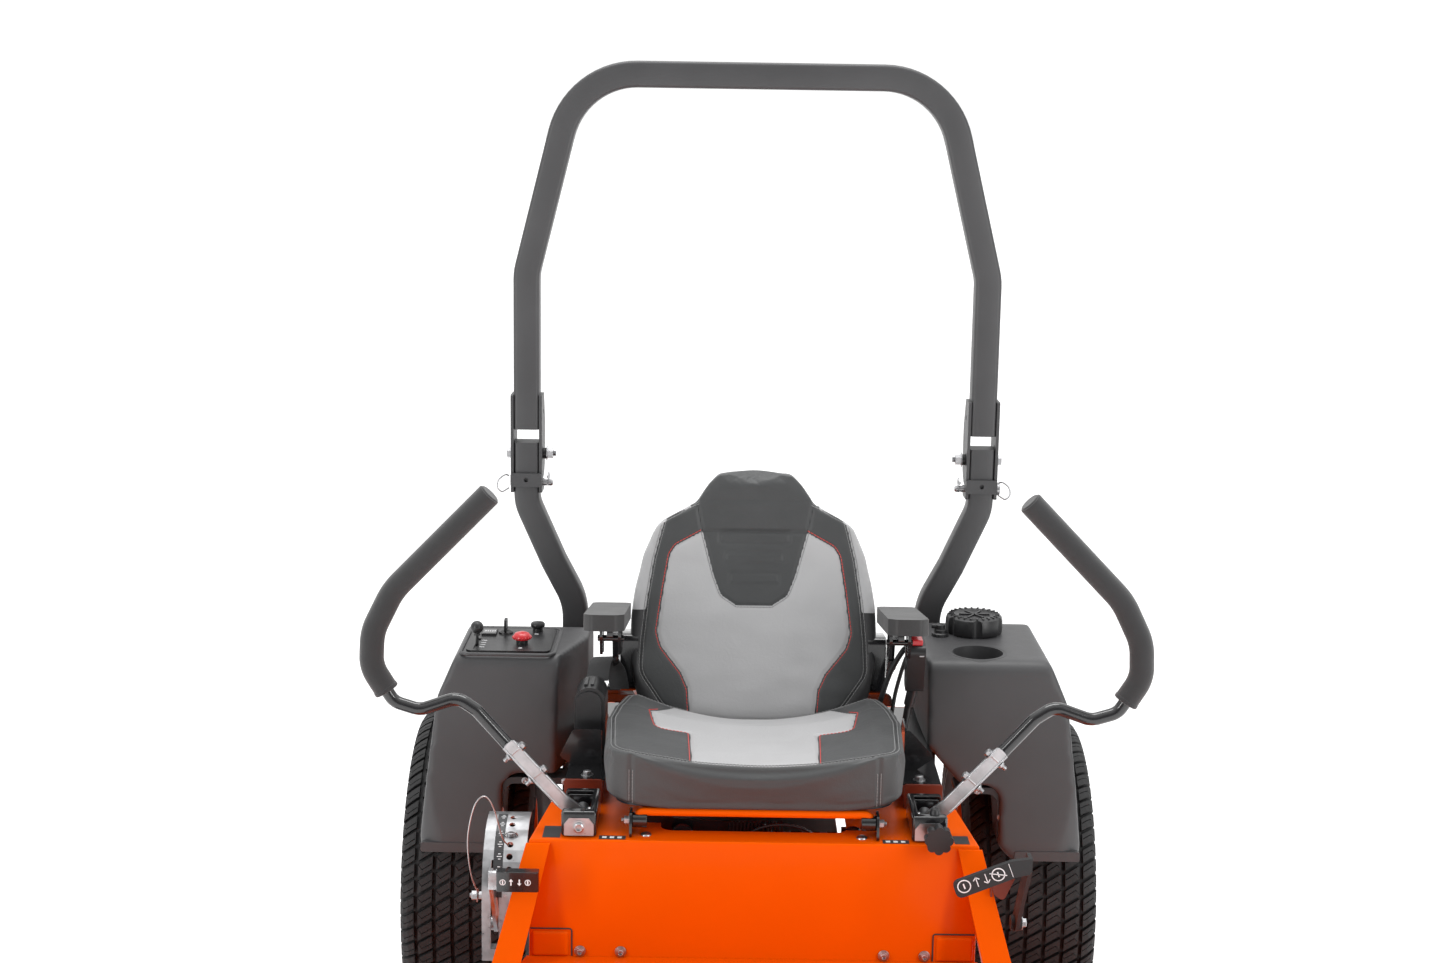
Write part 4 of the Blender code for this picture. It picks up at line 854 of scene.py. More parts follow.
def build_hand_controls():
    """The throttle, the blade switch, the choke, the key and the collars that they stand in."""
    pivot = Vector((-0.491, -0.275, 0.775))
    bm = bmesh.new()
    add_rod(bm, pivot, pivot + Vector((0, -0.005, 0.073)), 0.0028)
    add_rod(bm, pivot + Vector((0, -0.0045, 0.066)), pivot + Vector((0, -0.005, 0.071)), 0.0062, 0.0044)
    add_ball(bm, pivot + Vector((0, -0.005, 0.08)), 0.0115, 32)
    add_rod(bm, pivot - Vector((0.005, 0, 0)), pivot + Vector((0.005, 0, 0)), 0.008)
    piece("throttle_knob", bm, "black_plastic", "throttle", ["throttle_lever"], weld=0)
    blade_switch, choke, key = (-0.412, -0.27), (-0.392, -0.18), (-0.448, -0.2)
    top = FENDER_TOP
    rim = [
        (0, 0.0256), (0.006, 0.0252), (0.0125, 0.0228), (0.0158, 0.0185), (0.0168, 0.0155), (0.016, 0.0128),
    ]
    stem = [(0.011, 0.0108), (0.0068, 0.0098), (0.006, 0.0085), (0.006, -0.03), (0, -0.03)]
    bm = bmesh.new()
    add_turned(bm, rim + stem, (*blade_switch, top))
    for point in circle(blade_switch, 0.0163, 18):
        add_ball(bm, (*point, top + 0.0158), 0.0017, 10)
    piece("blade_switch_knob", bm, "red_plastic", "blade_switch", ["pto_knob"], weld=0)
    bm = bmesh.new()
    for place, collar in (
        (blade_switch, [(0.0105, 0.0), (0.0105, 0.0065), (0.0085, 0.0078), (0.0064, 0.0078), (0.0064, 0)]),
        (choke, [(0.0095, 0.0), (0.009, 0.0055), (0.005, 0.006), (0.005, 0)]),
        (key, [(0.0135, 0.0), (0.0128, 0.003), (0.0085, 0.0036), (0.0085, 0)]),
    ):
        add_turned(bm, collar, (*place, top + 0.004), closed=True)
    piece("control_collars", bm, "black_plastic", "chassis")
    rim = [(0, 0.0212), (0.006, 0.021), (0.0112, 0.0197), (0.0132, 0.0168), (0.013, 0.0135), (0.0115, 0.0112)]
    stem = [(0.006, 0.0095), (0.0046, 0.008), (0.0045, -0.03), (0, -0.03)]
    bm = bmesh.new()
    add_turned(bm, rim + stem, (*choke, top))
    piece("choke_button", bm, "black_plastic", "choke", ["choke_knob"])
    bm = bmesh.new()
    add_rod(bm, (*key, top - 0.03), (*key, top + 0.004), 0.008)
    add_turned(bm, [(0, 0.003), (0.0122, 0.004), (0.0118, 0.007), (0.006, 0.0105), (0, 0.011)], (*key, top))
    fin = [(-0.2135, 0.008), (-0.1865, 0.008), (-0.1875, 0.027), (-0.196, 0.0318), (-0.2125, 0.031)]
    add_flat(bm, "X", rounded([(y, top + rise) for y, rise in fin], 0.004), key[0] - 0.0023, key[0] + 0.0023)
    piece("key_fin", bm, "black_plastic", "key", ["ignition_key"], bevel=0.0009, segments=3)


def build_tank():
    """The fuel tank on the operator's left, with a cup recess and a raised filler neck."""
    front = [(0.28, 0.825), *FENDER_OUTER, (0.44, 0.6), (0.37, 0.6), (0.3, 0.68)]
    front = rounded(front, [0, 0.03, 0.08, 0.01, 0.014, 0.014, 0.012, 0.03, 0.03, 0.03])
    body = fender_shape(1, front, 0.31, -0.06)
    cut_arch(body, 1)
    bm = bmesh.new()
    add_rod(bm, (*CUP, 0.75), (*CUP, 0.85), 0.041, 0.0465, segments=64)
    add_rod(bm, (*FILLER, 0.78), (*FILLER, 0.85), 0.028, segments=48)
    boolean(body, temporary(bm), "DIFFERENCE")
    bm = bmesh_of(body)
    lip_band(bm, 1)
    rim = [(0.0455, -0.004), (0.0475, 0.0012), (0.0515, 0.0016), (0.0555, -0.0025), (0.0475, -0.006)]
    add_turned(bm, rim, (*CUP, FENDER_TOP), closed=True, steps=72)
    neck = [
        (0.0282, -0.02), (0.0282, 0.0058), (0.0345, 0.0058), (0.036, 0.004), (0.037, -0.004), (0.036, -0.02),
    ]
    add_turned(bm, neck, (*FILLER, FENDER_TOP), closed=True)
    piece("tank_moulding", bm, "moulded_plastic", "chassis", ["left_fuel_tank"], sharp=42)
    outline = [
        (0.36, 0.594), (0.43, 0.594), (
            0.449, 0.575,
        ), (0.449, 0.5), (0.437, 0.5), (0.437, 0.57), (0.425, 0.582),
        (0.36, 0.582),
    ]
    build_liner("tank", outline, ((0.4, 0.588), (0.443, 0.54)))
    bm = bmesh.new()
    valve = Vector((0.345, -0.16, FENDER_TOP))
    profile = [
        (0, 0.0), (0.0145, 0.0), (0.0145, 0.006), (0.012, 0.008), (0.012, 0.013), (
            0.0085, 0.0145,
        ), (0.0085, 0.022),
        (0.005, 0.024), (0, 0.024),
    ]
    add_turned(bm, profile, valve)
    for point in circle(valve, 0.0142, 12):
        add_rod(bm, (*point, FENDER_TOP), (*point, FENDER_TOP + 0.006), 0.0014, segments=8)
    add_rod(bm, valve + Vector((0, 0, 0.018)), valve + Vector((-0.016, 0.002, 0.019)), 0.0045)
    piece("vent_valve", bm, "black_plastic", "chassis", weld=0)


def build_fuel_cap():
    """A cap with six finger scallops, a ring of short ribs round its top and three bars across it."""
    centre = (*FILLER, FENDER_TOP)
    bm = bmesh.new()
    profile = [
        (
            0.0365, 0.0005,
        ), (0.0365, 0.014), (0, 0.014), (0, 0.034), (0.034, 0.0345), (0.037, 0.0365), (0.045, 0.036),
        (0.0505, 0.0325), (0.0522, 0.026), (0.0525, 0.013), (0.0515, 0.004), (0.0495, 0.0015),
    ]
    add_turned(bm, profile, centre, closed=True, steps=72)
    cap = temporary(bm)
    tools = bmesh.new()
    for k in range(6):
        turn = math.radians(60 * k + 30)
        x, y = FILLER[0] + 0.058 * math.cos(turn), FILLER[1] + 0.058 * math.sin(turn)
        add_rod(tools, (x, y, FENDER_TOP - 0.02), (x, y, FENDER_TOP + 0.06), 0.011)
    boolean(cap, temporary(tools), "DIFFERENCE")
    bm = bmesh_of(cap)
    for count, step, at, size in (
        (24, 15, (0.0425, 0, 0.0366), (0.0085, 0.0032, 0.0022)),
        (3, 60, (0, 0, 0.035), (0.056, 0.003, 0.003)),
    ):
        for k in range(count):
            place = Matrix.Translation(centre) @ Matrix.Rotation(math.radians(step * k), 4, "Z")
            add_block(bm, place @ Matrix.Translation(at), size)
    piece("fuel_cap_moulding", bm, "black_plastic", "fuel_filler_cap", ["fuel_cap"], bevel=0.0008)


# ---- seat ----
FOOT_Y, FOOT_Z = -0.315, 0.695
LEAN = Matrix.Translation((0, FOOT_Y, FOOT_Z)) @ Matrix.Rotation(math.radians(-9), 4, "X")


def both_halves(half):
    """A closed outline from its half at +X, whose ends lie on or near the middle."""
    return [tuple(p) for p in half] + [(-p[0], *p[1:]) for p in reversed(half)]


def distance_to(points, ring, closed=True):
    """How far each (u, v) point is from a line through the ring's corners."""
    corners = np.array([tuple(p)[:2] for p in ring])
    after = np.roll(corners, -1, axis=0)
    if not closed:
        corners, after = corners[:-1], after[:-1]
    best = np.full(len(points), 1e9)
    for a, b in zip(corners, after):
        run = b - a
        t = np.clip(((points - a) @ run) / max(run @ run, 1e-12), 0, 1)
        best = np.minimum(best, np.linalg.norm(points - a - t[:, None] * run, axis=1))
    return best


def signed_distance(points, ring):
    """Positive inside the ring."""
    corners = np.array([tuple(p)[:2] for p in ring])
    after = np.roll(corners, -1, axis=0)
    inside = np.zeros(len(points), bool)
    for a, b in zip(corners, after):
        crosses = (a[1] > points[:, 1]) != (b[1] > points[:, 1])
        if a[1] == b[1]:
            continue
        at = (b[0] - a[0]) * (points[:, 1] - a[1]) / (b[1] - a[1]) + a[0]
        inside ^= crosses & (points[:, 0] < at)
    return np.where(inside, 1, -1) * distance_to(points, ring)


def vertex_values(mesh, kind="co"):
    """The places (co) or normals (normal) of a mesh's vertices, as rows."""
    flat = np.empty(len(mesh.vertices) * 3)
    mesh.vertices.foreach_get(kind, flat)
    return flat.reshape(-1, 3)


def set_coordinates(mesh, points):
    """Moves the mesh's vertices to new places."""
    mesh.vertices.foreach_set("co", points.reshape(-1))
    mesh.update()


def set_values(mesh, name, values):
    """Keeps one number a vertex, which the seat's material reads by name."""
    made = mesh.attributes.new(name, "FLOAT", "POINT")
    made.data.foreach_set("value", values.astype(np.float32))


def panelled_vinyl(name):
    """Vinyl in two greys and black, told apart by the mesh's own light, black and seam values."""
    made, nodes, links, shader = new_material(name)

    def step(value_name, edge, width):
        """0 to 1 where one of the mesh's own values passes an edge."""
        value = nodes.new("ShaderNodeAttribute")
        value.attribute_name = value_name
        return mapped(nodes, links, value.outputs["Fac"], edge - width, edge + width)

    def mix(factor, first, second):
        """One colour, going over into another."""
        node = nodes.new("ShaderNodeMix")
        node.data_type = "RGBA"
        links.new(factor, node.inputs["Factor"])
        links.new(first, node.inputs["A"])
        links.new(second, node.inputs["B"])
        return node.outputs["Result"]

    dark = mottled(nodes, links, (0.043, 0.045, 0.046), 16.0, 0.07)
    light = mottled(nodes, links, (0.38, 0.38, 0.385), 11.0, 0.03)
    black = mottled(nodes, links, (0.014, 0.014, 0.015), 16.0, 0.07)
    shade = mix(step("light", 0.0, 0.0004), dark, light)
    shade = mix(step("black", 0.0, 0.0006), shade, black)
    shade = mix(step("seam", 0.0009, 0.0004), black, shade)
    links.new(shade, shader.inputs["Base Color"])
    pebbled(nodes, links, shader, 0.5, 0.1, (60.0, 1.8, 0.3, 0.0016))
    return made


def swell(obj, held, cap):
    """Inflates the mesh by cloth simulation while the held vertices stay, and caps how far any moves."""
    scene = bpy.context.scene
    start = vertex_values(obj.data)
    pins = obj.vertex_groups.new(name="held")
    for index in np.nonzero(held > 0)[0]:
        pins.add([int(index)], float(held[index]), "REPLACE")
    cloth = obj.modifiers.new("stuffing", "CLOTH")
    cloth.settings.use_pressure = True
    cloth.settings.uniform_pressure_force = 4.0
    cloth.settings.effector_weights.gravity = 0.0
    cloth.settings.vertex_group_mass = "held"
    cloth.settings.quality = 4
    for number in range(1, 16):
        scene.frame_set(number)
    made = evaluated_mesh(obj)
    moved = vertex_values(made) - start
    bpy.data.meshes.remove(made)
    reach = np.linalg.norm(moved, axis=1)
    scale = np.minimum(1.0, cap / np.maximum(reach, 1e-9))
    obj.modifiers.remove(cloth)
    set_coordinates(obj.data, start + moved * scale[:, None])
    scene.frame_set(1)


def noise_along(points, scale, seed):
    """Smooth noise at each point, scale bumps in a metre."""
    offset = Vector((seed * 3.7, seed * 1.3, seed * 7.1))
    return np.array([noise.noise(Vector(p) * scale + offset) for p in points])


def place_along(run, distance):
    """The point at a distance along a path."""
    for a, b in zip(run, run[1:]):
        step = (b - a).length
        if distance <= step or b is run[-1]:
            return a.lerp(b, distance / max(step, 1e-9))
        distance -= step


def stitches(name, mesh, runs, direction, material, place=None, pitch=0.0062, length=0.0044, radius=0.00062):
    """Short threads laid on the mesh along each run, dropped onto it along a direction."""
    tree = BVHTree.FromPolygons([v.co for v in mesh.vertices], [p.vertices for p in mesh.polygons])
    bm = bmesh.new()
    ahead = Vector(direction).normalized()
    for run in runs:
        run = [Vector(p) for p in run]
        total = sum((b - a).length for a, b in zip(run, run[1:]))
        gone = 0.0
        while gone + length < total:
            ends = [place_along(run, gone), place_along(run, gone + length)]
            (one, up_one, *_), (two, up_two, *_) = [tree.ray_cast(e - ahead * 0.2, ahead, 0.6) for e in ends]
            gone += pitch
            if one is None or two is None or (one - two).length > 2.5 * length:
                continue
            rise_one, rise_two = up_one * radius, up_two * radius
            a, b = one + rise_one * 0.3, two + rise_two * 0.3
            middle = (a + b) / 2 + rise_one * 0.9
            thread = [
                a - (b - a) * 0.04 - rise_one, a + (middle - a) * 0.35 + rise_one * 0.2, middle,
                b + (middle - b) * 0.35 + rise_two * 0.2, b + (b - a) * 0.04 - rise_two,
            ]
            add_tube(bm, thread, radius, 6)
    if place is not None:
        bm.transform(place)
    piece(name, bm, None, "seat", material=material, weld=0)


def padded_blank(bm, edge, voxel, rounds):
    """A block with rolled edges in small even faces, for a cover to be worked from."""
    obj = temporary(bm)
    soften(obj, edge, 5, 60)
    bake(obj)
    remesh(obj, voxel, rounds)
    return obj


def upholster(name, mesh, node, place=Matrix.Identity(4)):
    """The finished cover, from its worked mesh."""
    bm = bmesh.new()
    bm.from_mesh(mesh)
    bmesh.ops.subdivide_edges(bm, edges=bm.edges, cuts=1, use_grid_fill=True, smooth=0.6)
    bm.transform(place)
    cover = piece(name, bm, "seat_vinyl", "seat", [node], material=PANELLED, sharp=70, weld=0)


def flat_points(points):
    """(u, v) pairs from points of any kind."""
    return [(p[0], p[1]) for p in points]


def in_halves(ring):
    """A ring's first and second half."""
    return ring[: len(ring) // 2], ring[len(ring) // 2 :]


def offset_ring(ring, amount):
    """A closed (u, v) outline moved outwards by amount; its corners run either way round."""
    points = [Vector((p[0], p[1])) for p in ring]
    area = sum(points[i - 1].cross(points[i]) for i in range(len(points)))
    made = []
    for i, point in enumerate(points):
        before, after = points[i - 1], points[(i + 1) % len(points)]
        one, two = (point - before).normalized(), (after - point).normalized()
        run = (one + two).normalized() if (one + two).length > 1e-6 else two
        out = Vector((run.y, -run.x)) * (1 if area > 0 else -1)
        made.append(point + out * amount)
    return made


PANELLED = panelled_vinyl("seat_vinyl_panels")
ARM_FOAM = vinyl("armrest_skin", (0.02, 0.02, 0.0205), 0.55)
SEAM_REACH = 0.0032
SEAM_PITCH = 0.0056
# Half outlines on the backrest, in its own (X, Z) plane.
BACK_LIGHT = [
    (0.093, 0.341), (0.14, 0.315), (0.150, 0.299), (0.161, 0.234), (0.171, 0.162), (0.164, 0.136), (
        0.1276, 0.0895,
    ),
    (0.1145, 0.060), (0.1116, 0.014), (0.075, 0.008), (0.03, 0.0045),
]
HEAD_INSET = [(0.103, 0.389), (0.093, 0.342), (0.072, 0.263), (0.0585, 0.228), (0.031, 0.2098)]
BACK_SEAM = [
    (0.103, 0.389), (
        0.160, 0.3614,
    ), (0.178, 0.29), (0.190, 0.2144), (0.197, 0.147), (0.2, 0.09), (0.157, 0.027),
    (0.105, 0.007), (0.03, -0.001),
]
BACK_HALF = [
    (
        0.03, -0.0298,
    ), (0.1, -0.024), (0.178, 0.002), (0.207, 0.05), (0.2175, 0.105), (0.2165, 0.205), (0.197, 0.298),
    (0.173, 0.352), (0.105, 0.39), (0.083, 0.424), (0.064, 0.444),
]
BACK_RADII = [0, 0.15, 0.04, 0.05, 0.08, 0.1, 0.06, 0.035, 0.025, 0.02, 0.02]
EMBOSSED_BARS = ((0.064, 0.3204, 0.3406), (0.0545, 0.285, 0.3044), (0.0458, 0.2474, 0.269))
BACK_FACE_Y, BACK_SIDE_Y = 0.034, 0.066
INSET_TOP = 0.385


def build_backrest():
    """A crowned back with light panels, a head inset, sewn seams and embossed bars."""
    radii = BACK_RADII + BACK_RADII[::-1]
    bm = bmesh.new()
    add_flat(bm, "Y", rounded(both_halves(BACK_HALF), radii), 0.003, 0.084)
    obj = padded_blank(bm, 0.022, 0.0038, 6)
    mesh = obj.data
    points = vertex_values(mesh)
    plane = points[:, [0, 2]]
    front = points[:, 1] < BACK_FACE_Y
    light_ring = rounded(
        BACK_LIGHT, [0.004, 0.02, 0.02, 0.05, 0.03, 0.03, 0.03, 0.03, 0.004, 0.05, 0], closed=False,
    )
    light_ring = both_halves(flat_points(light_ring))
    inset = both_halves(flat_points(rounded(HEAD_INSET, [0, 0.03, 0.06, 0.02, 0.03], closed=False)))
    inset_ring = [*inset, (-0.103, 0.46), (0.103, 0.46)]
    seam_half = rounded(BACK_SEAM, [0, 0.02, 0.06, 0.06, 0.06, 0.04, 0.05, 0.1, 0], closed=False)
    light = signed_distance(plane, light_ring)
    in_inset = signed_distance(plane, inset_ring)
    outside = -signed_distance(plane, both_halves(flat_points(seam_half[::-1])))
    outside = np.where(plane[:, 1] > INSET_TOP, -1.0, outside)
    strip = np.minimum(outside, plane[:, 1] - 0.2)
    value = np.where(front, np.maximum(np.minimum(light, -in_inset), strip), strip)
    value = np.where(points[:, 1] > BACK_SIDE_Y, -1.0, value)
    seam = np.minimum(np.abs(light), np.where(plane[:, 1] < 0.4, np.abs(in_inset), 1.0))
    for side in (1, -1):
        seam = np.minimum(seam, distance_to(plane, mirrored(seam_half, side), False))
    seam = np.where(front, seam, 1.0)
    black = np.where(points[:, 1] > BACK_SIDE_Y, 0.01, np.minimum(outside, 0.2 - plane[:, 1]))
    set_values(mesh, "light", value)
    set_values(mesh, "seam", seam)
    set_values(mesh, "black", black)
    held = np.where(seam < 0.006, 1.0, 0.0)
    held = np.where(points[:, 1] > 0.06, 1.0, held)
    swell(obj, held, 0.007)
    points = vertex_values(mesh)
    out = vertex_values(mesh, "normal")
    bars = np.zeros(len(points))
    for half_width, low, high in EMBOSSED_BARS:
        bar = [(-half_width, low), (half_width, low), (half_width - 0.003, high), (-half_width + 0.003, high)]
        bars = np.maximum(bars, np.exp(-((distance_to(plane, rounded(bar, 0.006)) / 0.0028) ** 2)))
    depth = 0.0022 * np.exp(-((seam / SEAM_REACH) ** 2)) + np.where(front, 0.0016 * bars, 0.0)
    hollow = 0.008 * np.exp(-((plane[:, 0] / 0.11) ** 2 + ((plane[:, 1] - 0.13) / 0.12) ** 2))
    crease = noise_along(points * np.array([1, 1, 2.2]), 15.0, 1) * 0.0011
    points = points - out * depth[:, None] + out * np.where(points[:, 1] < 0.06, crease, 0)[:, None]
    points[:, 1] += np.where(front, hollow * 0.7, 0.0)
    set_coordinates(mesh, points)
    upholster("backrest_cover", mesh, "seat_backrest", LEAN)
    sewn = [(p[0], 0, p[1]) for p in offset_ring(light_ring, SEAM_REACH) if p[1] > 0.012]
    stitches("back_red_stitching", mesh, in_halves(sewn), (0, 1, 0), RED_THREAD, LEAN)
    grey = [[(p[0], 0, p[1]) for p in offset_ring(inset_ring, 0.003)[: len(inset)] if p[1] < INSET_TOP]]
    for shift in (-SEAM_REACH, SEAM_REACH):
        grey += [[(side * (p[0] + shift), 0, p[1]) for p in seam_half] for side in (1, -1)]
    stitches("back_grey_stitching", mesh, grey, (0, 1, 0), GREY_THREAD, LEAN, pitch=SEAM_PITCH)
    drop(obj)
    bm = bmesh.new()
    shell = both_halves([(p[0] * 0.93, p[1] * 0.97 + 0.004) for p in BACK_HALF])
    add_flat(bm, "Y", rounded(shell, [r * 0.9 for r in radii]), 0.076, 0.0895)
    bm.transform(LEAN)
    piece("backrest_shell", bm, "black_plastic", "seat", bevel=0.006, segments=3)


# Half outlines of the cushion and of its light panel, as (X, Y) from front to rear.
CUSHION_HALF = [(0.236, -0.708), (0.2455, -0.52), (0.222, -0.32)]
CUSHION_TOP_LIGHT = [
    (0.101, -0.712), (0.101, -0.694), (0.107, -0.527), (
        0.1625, -0.537,
    ), (0.176, -0.44), (0.162, -0.4), (0.14, -0.33),
]
CUSHION_SEAM_X = 0.197


def build_cushion():
    """A dished cushion with a light panel on top and seams round its front."""
    outline = rounded(both_halves(CUSHION_HALF), [0.05, 0.1, 0.03, 0.03, 0.1, 0.05])
    bm = bmesh.new()
    add_flat(bm, "Z", outline, 0.6725, 0.7665)
    obj = padded_blank(bm, 0.017, 0.004, 5)
    mesh = obj.data
    points = vertex_values(mesh)
    plan = points[:, [0, 1]]
    high = points[:, 2]
    upper = high > 0.752
    rim = offset_ring(flat_points(outline), -0.0105)
    light_half = rounded(CUSHION_TOP_LIGHT, [0, 0, 0.005, 0.014, 0.018, 0.03, 0], closed=False)
    light_ring = both_halves(flat_points(light_half))
    light = np.minimum(signed_distance(plan, light_ring), signed_distance(plan, rim))
    rim_seam = np.where(high > 0.74, np.abs(signed_distance(plan, rim)), 1.0)
    seam = np.where(upper, np.minimum(np.abs(light), rim_seam), rim_seam)
    on_front = (points[:, 1] < -0.66) & (high < 0.762)
    seam = np.minimum(seam, np.where(on_front, np.abs(np.abs(points[:, 0]) - CUSHION_SEAM_X), 1.0))
    set_values(mesh, "light", np.where(upper, light, -1.0))
    set_values(mesh, "seam", seam)
    set_values(mesh, "black", np.where(high < 0.676, 0.01, -0.01))
    held = np.where(seam < 0.006, 1.0, 0.0)
    held = np.where(high < 0.69, 1.0, held)
    swell(obj, held, 0.006)
    points = vertex_values(mesh)
    out = vertex_values(mesh, "normal")
    depth = 0.0024 * np.exp(-((seam / SEAM_REACH) ** 2))
    crease = noise_along(points * np.array([1, 1.5, 1]), 14.0, 5) * 0.0014
    points = points - out * depth[:, None] + out * np.where(high > 0.69, crease, 0)[:, None]
    # The top is dished, more to the rear; the corners' undersides curl up, and the rear edge sinks.
    share = np.clip((high - 0.70) / 0.06, 0, 1)
    across = np.clip(1 - (points[:, 0] / 0.2) ** 2, 0, 1)
    behind = np.clip((points[:, 1] + 0.64) / 0.24, 0, 1)
    points[:, 2] -= (0.022 + 0.02 * behind) * across * share
    lift = 0.016 * np.clip((np.abs(points[:, 0]) - 0.13) / 0.11, 0, 1) ** 1.5
    points[:, 2] += lift * np.clip((0.72 - high) / 0.04, 0, 1)
    points[:, 2] -= 0.018 * share * np.clip((points[:, 1] + 0.45) / 0.13, 0, 1)
    set_coordinates(mesh, points)
    upholster("cushion_cover", mesh, "seat_cushion")
    down, above = (0, 0, -1), 0.8
    sewn = [(p[0], p[1], above) for p in offset_ring(light_ring, SEAM_REACH) if -0.695 < p[1] < -0.335]
    stitches("cushion_red_stitching", mesh, in_halves(sewn), down, RED_THREAD)
    rims = []
    for shift in (-0.0034, 0.0034):
        ring = [(p[0], p[1], above) for p in offset_ring(rim, shift)]
        rims.append(ring + ring[:1])
    stitches("cushion_rim_stitching", mesh, rims, down, GREY_THREAD, pitch=SEAM_PITCH)
    fronts = []
    for side in (1, -1):
        for shift in (-0.003, 0.003):
            fronts.append([(side * (CUSHION_SEAM_X + shift), -0.9, z) for z in (0.682, 0.74)])
    stitches("cushion_front_stitching", mesh, fronts, (0, 1, 0), GREY_THREAD, pitch=SEAM_PITCH)
    drop(obj)
    bm = bmesh.new()
    pan = both_halves([(x * 0.94, y + (0.012 if y < -0.6 else -0.008)) for x, y in CUSHION_HALF])
    add_flat(bm, "Z", rounded(pan, [0.045, 0.1, 0.03, 0.03, 0.1, 0.045]), 0.6745, 0.6825)
    piece("cushion_pan", bm, "black_plastic", "seat", bevel=0.002)


ARM_TIP = Matrix.Translation((0, -0.565, 0.9253))
ARM_SLOPE = ARM_TIP @ Matrix.Rotation(math.radians(-9.5), 4, "X") @ ARM_TIP.inverted()
ARM_X = 0.242


def build_armrests():
    """Sloping pads on forked arms, each with its pivot bolt and bracket."""
    for name, side in SIDES:
        low, high = span(side, 0.2165, 0.284)
        bm = bmesh.new()
        outline = [
            (low, -0.548), (low + 0.013, -0.565), (
                high - 0.013, -0.565,
            ), (high, -0.548), (high, -0.29), (low, -0.29),
        ]
        add_flat(bm, "Z", rounded(outline, [0.01, 0.01, 0.01, 0.01, 0.014, 0.014]), 0.9255, 0.9525)
        bm.transform(ARM_SLOPE)
        armrest, pad = f"{name}_armrest", f"{name}_armrest_pad"
        piece(f"{name}_arm_pad_skin", bm, "black_plastic", armrest, [pad], 0.0085, 5, material=ARM_FOAM)
        forks = bmesh.new()
        x = side * ARM_X
        fork = [(0, 0.925), (0.014, 0.925), (0.026, 0.885), (0.017, 0.878), (0.002, 0.91)]
        for base in (-0.5, -0.465):
            prong = rounded([(base + y, z) for y, z in fork], 0.003)
            add_flat(forks, "X", prong, x - 0.018, x - 0.013)
            add_flat(forks, "X", prong, x + 0.013, x + 0.018)
        add_rod(forks, (x - 0.022, -0.48, 0.907), (x + 0.022, -0.48, 0.907), 0.0052)
        forks.transform(ARM_SLOPE)
        bm = clean_copy(f"{name}_armrest_arm")
        merge_into(bm, forks)
        piece(f"{name}_arm_skin", bm, "black_paint", armrest, [f"{name}_armrest_arm"], bevel=0.0015)
        bm = bmesh.new()
        add_bolt(bm, (side * 0.2475, -0.262, 0.792), (side, 0, 0), 0.016, 0.007)
        piece(f"{name}_arm_bolt", bm, "zinc", armrest, bevel=0.0005)
        bm = bmesh.new()
        bracket = rounded([(-0.292, 0.745), (-0.215, 0.735), (-0.21, 0.84), (-0.292, 0.85)], 0.012)
        add_flat(bm, "X", bracket, *span(side, 0.203, 0.2355))
        piece(f"{name}_arm_bracket", bm, "black_paint", "seat", bevel=0.002)


BAR_Y, BAR_Z = -0.7, 0.652


